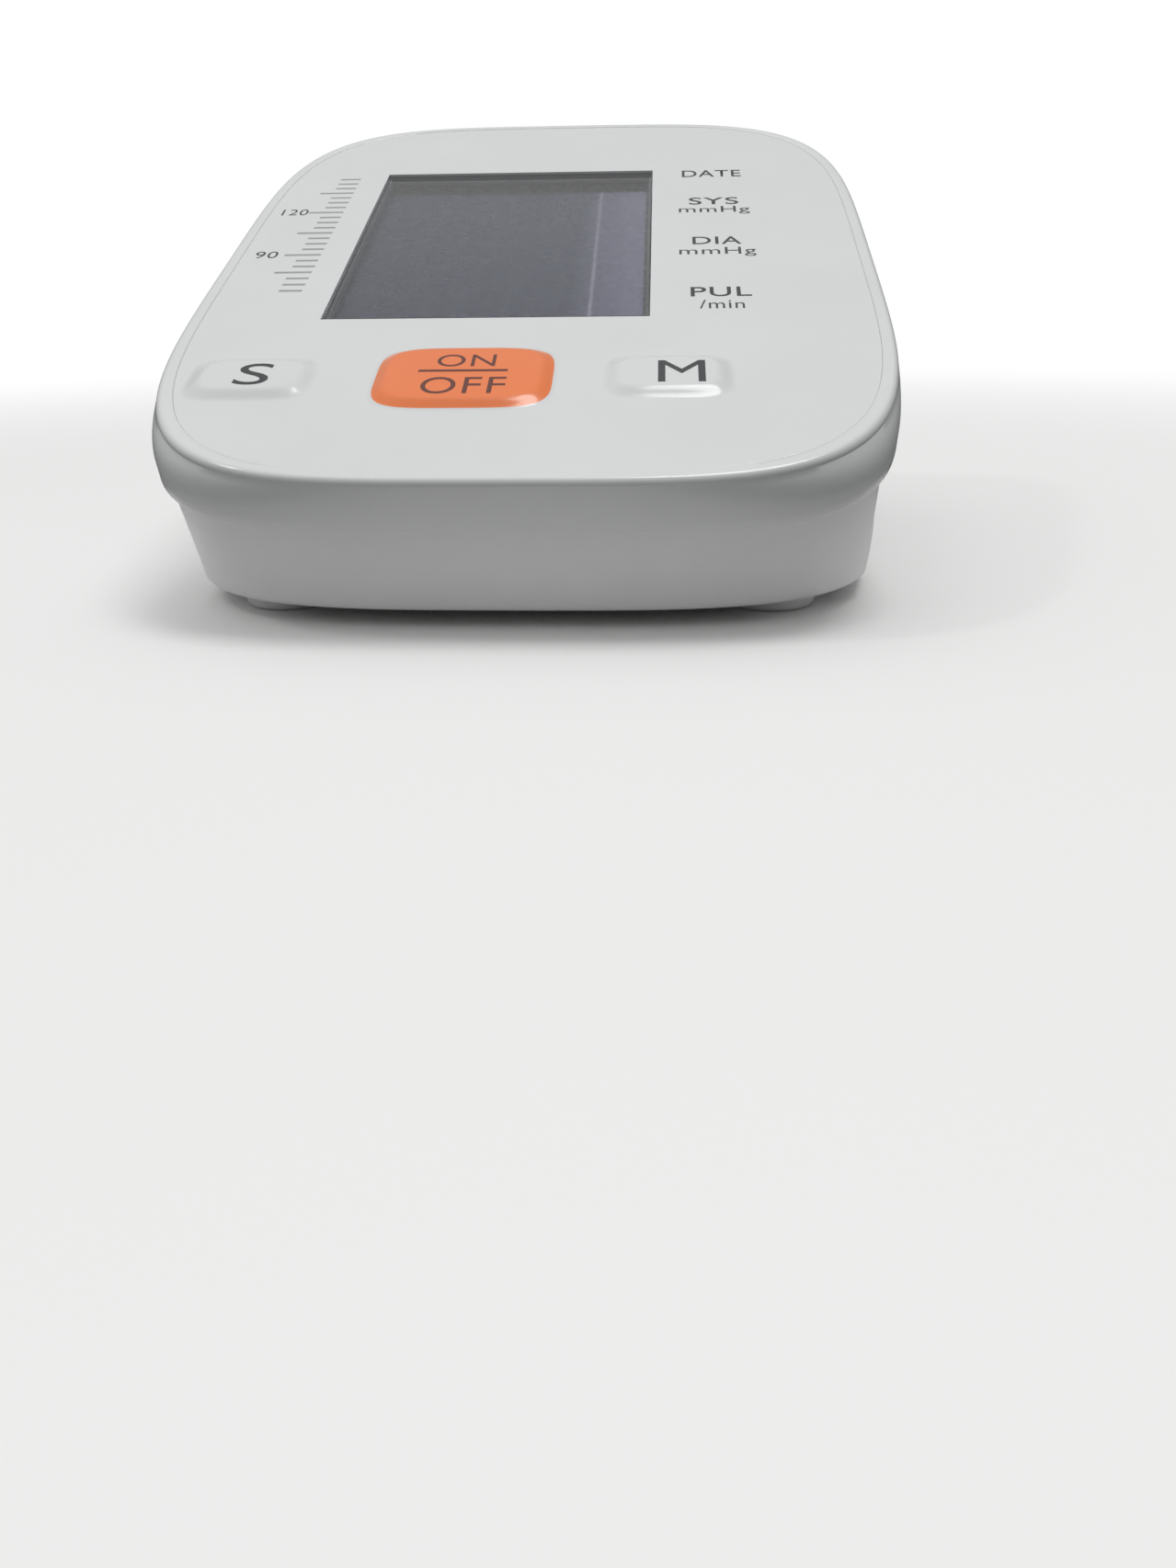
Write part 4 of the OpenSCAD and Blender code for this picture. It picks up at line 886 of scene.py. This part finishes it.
# Screw posts, feet and the collars behind the sockets
foot_profile = ((FOOT_R - 1.1, 0), (FOOT_R - 0.5, 0.15), (FOOT_R - 0.2, 0.6), (FOOT_R, 2.1),
                (FOOT_R, 2.4))
fittings, collars = [], []
for side, collar_r in ((-1, 6.9), (1, 6.3)):
    for y, top in zip(POST_YS, POST_TOPS):
        x = side * POST_X
        fittings.append(rod((x, y, FLOOR_TOP - SUNK), (x, y, top), POST_R))
    for x, y in (FRONT_FOOT, REAR_FOOT):
        fittings.append(spun("foot", side * x, y, foot_profile))
    collars.append(socket_rod(side * (WALL_X - 5), side * (WALL_X - 0.02), collar_r))
work(case, "UNION", fittings)
work(case, "UNION", collars)

# Saddles and strap posts for the pump, and a cradle for the release valve
saddles = [block(x - 1.5, x + 1.5, PUMP_Y - 8.05, PUMP_Y + 8.05, BAY_TOP - SUNK, BAY_TOP + 5.225)
           for x in (4, STRAP_X)]
for side, low in ((-1, BAY_TOP), (1, FLOOR_TOP)):
    y = PUMP_Y + side * STRAP_REACH
    saddles.append(rod((STRAP_X, y, low - SUNK), (STRAP_X, y, STRAP_TOP), 2.6))
work(case, "UNION", saddles)
work(case, "UNION", [block(x - 1, x + 1, 12, 27, BAY_TOP - SUNK, 26.9) for x in (0.85, 8.85)])
work(case, "DIFFERENCE", [block(-1, 11, 13.4, 25.6, 22.9, 30)])

# The bay's room, and the door's opening with the slots and notches for its lugs
work(case, "DIFFERENCE", [block(-BAY_HALF, BAY_HALF, BAY_FRONT, BAY_BACK, 0, BAY_ROOM)])
work(case, "DIFFERENCE", [block(-DOOR_HALF - DOOR_GAP, DOOR_HALF + DOOR_GAP,
                                DOOR_FRONT - DOOR_GAP, FAR, -1, DOOR_TOP + DOOR_GAP)])
SLOT_HALF = LUG_HALF + DOOR_GAP
for y in LUG_YS:
    back = y + LUG_L + DOOR_SLIDE + DOOR_GAP
    work(case, "DIFFERENCE", [block(-SLOT_HALF, SLOT_HALF, y - DOOR_GAP, back,
                                    LUG_BOTTOM - DOOR_GAP, DOOR_TOP + DOOR_GAP)])
    work(case, "DIFFERENCE", [block(-SLOT_HALF, SLOT_HALF, y + DOOR_SLIDE - DOOR_GAP, back,
                                    -1, 3.9)])

# Screw holes from below, the sockets' seats and bores, the motor's bed and the strap's screw holes
cuts = []
for side in (-1, 1):
    for y, top in zip(POST_YS, POST_TOPS):
        cuts.append(spun("counterbore", side * POST_X, y, (
            (3.3, 1), (3.3, 1.9), (3.15, 2.1), (2.9, 2.3), (2.9, top - 2.5), (1.6, top - 2.5),
            (1.6, top + 1))))
cuts.append(socket_rod(-FAR, -SEAT_X, 8.5, sides=64))
cuts.append(socket_rod(SEAT_X, FAR, 5.7, sides=64))
cuts.append(rod((0.5, PUMP_Y, PUMP_Z), (29, PUMP_Y, PUMP_Z), MOTOR_R + 0.05, sides=64))
for side in (-1, 1):
    y = PUMP_Y + side * STRAP_REACH
    cuts.append(rod((STRAP_X, y, STRAP_TOP - 6.5), (STRAP_X, y, STRAP_TOP + 1), 1.2, sides=24))
work(case, "DIFFERENCE", cuts)
work(case, "DIFFERENCE", [socket_rod(-50, -36.275, 5.3), socket_rod(35.375, 50, 4.7)])
done(case, "housing_case", "housing", white_shell, ["lower_case"])

# ---------------------------------------------------------------- battery door

# The door is cut to the case's own outer form, without the recesses
door = block(-DOOR_HALF, DOOR_HALF, DOOR_FRONT, FAR, 0, DOOR_TOP)
work(door, "INTERSECT", [loft("plain_case", [[wall_point(t, share) for t in face_turns]
                                             for share in wall_shares if share < 0.5])])
work(door, "UNION", [block(-LUG_HALF, LUG_HALF, y, y + LUG_L, LUG_BOTTOM, DOOR_TOP)
                     for y in LUG_YS])

# Finger grooves near the door's back
GRIPS, GRIP_BACK, GRIP_PITCH, GRIP_HALF, GRIP_W = 6, 47, 2.4, 8, 1.2
grips = []
for i in range(GRIPS):
    y = GRIP_BACK - GRIP_PITCH * i
    grips.append(loft("grip", [[Vector((side * (GRIP_HALF - d), at, z)) for side, at in (
        (1, y + GRIP_W - d), (-1, y + GRIP_W - d), (-1, y + d), (1, y + d))]
        for d, z in ((-0.12, 1), (-0.12, 2), (0.02, 2.14), (0.1, 2.5))]))
work(door, "DIFFERENCE", grips)
soften(door, 0.12, 2, 50)
done(door, "cell_door", "battery_door", white_shell, ["battery_door"], angle=20)

# ---------------------------------------------------------------- stage and light


def pale_floor():
    """A pale floor with the shadow on it, which throws light back only near by and turns white."""
    material, tree, shader = finish_tree("pale_floor")
    shader.inputs["Roughness"].default_value = 0.7
    shader.inputs["Specular IOR Level"].default_value = 0.2
    path = tree.nodes.new("ShaderNodeLightPath")
    seen = path.outputs["Is Camera Ray"]
    distance = tree.nodes.new("ShaderNodeVectorMath")
    distance.operation = "LENGTH"
    tree.links.new(own_space(tree), distance.inputs[0])
    away = distance.outputs["Value"]
    thrown = ramp(tree, mapped(tree, away, (0.074, 0.096)), [
        (0, (0.82, 0.815, 0.805, 1)), (1, (0.1, 0.1, 0.1, 1))])
    shade = mixed(tree, seen, thrown, srgb(246, 246, 245))
    tree.links.new(shade, shader.inputs["Base Color"])
    white = tree.nodes.new("ShaderNodeEmission")
    gone = multiplied(tree, mapped(tree, away, (0.12, 0.55), soft=True), seen)
    mixed_shader(tree, gone, shader.outputs["BSDF"], white.outputs["Emission"], "Material Output")
    return material


put_down()
bpy.ops.mesh.primitive_plane_add(size=6)
floor = bpy.context.object
floor.name = "floor"
floor.data.materials.append(pale_floor())


def room_light():
    """Light from above, weaker to the horizon, in front and at the right; plain white when seen."""
    world = bpy.data.worlds.new("room")
    bpy.context.scene.world = world
    world.use_nodes = True
    tree = world.node_tree
    room = tree.nodes["Background"]
    room.inputs["Strength"].default_value = 1.67
    sky = tree.nodes.new("ShaderNodeTexCoord")
    way = tree.nodes.new("ShaderNodeSeparateXYZ")
    tree.links.new(sky.outputs["Generated"], way.inputs["Vector"])
    above = ramp(tree, way.outputs["Z"], [
        (z, (light * 0.985, light * 0.995, light * 0.99, 1)) for z, light in
        ((0, 0.1), (0.5, 0.27), (0.777, 0.46), (0.94, 0.84), (1, 1))])
    fades = multiplied(tree, mapped(tree, way.outputs["Y"], (-1, 1), (0.62, 1.12)),
                       mapped(tree, way.outputs["X"], (-1, 1), (1.17, 0.6)))
    tree.links.new(mixed(tree, 1, above, fades, "MULTIPLY"), room.inputs["Color"])
    plain = tree.nodes.new("ShaderNodeBackground")
    plain.inputs["Color"].default_value = WHITE
    rays = tree.nodes.new("ShaderNodeLightPath")
    mixed_shader(tree, rays.outputs["Is Camera Ray"], room.outputs["Background"],
                 plain.outputs["Background"], "World Output")


def lamp(name, at, w, h, power):
    """A lamp with a square face that points at the object."""
    data = bpy.data.lights.new(name, "AREA")
    data.shape = "RECTANGLE"
    data.size, data.size_y, data.energy = w, h, power
    light = bpy.data.objects.new(name, data)
    bpy.context.scene.collection.objects.link(light)
    light.location = at
    towards = Vector((0, 0, 0.04)) - Vector(at)
    light.rotation_euler = towards.to_track_quat("-Z", "Y").to_euler()


room_light()
lamp("overhead", (0.19, -0.03, 0.9), 0.32, 0.38, 2.4)
lamp("left_spot", (-0.45, -0.12, 0.6), 0.06, 0.06, 0.35)

bpy.context.scene.view_settings.view_transform = "Standard"
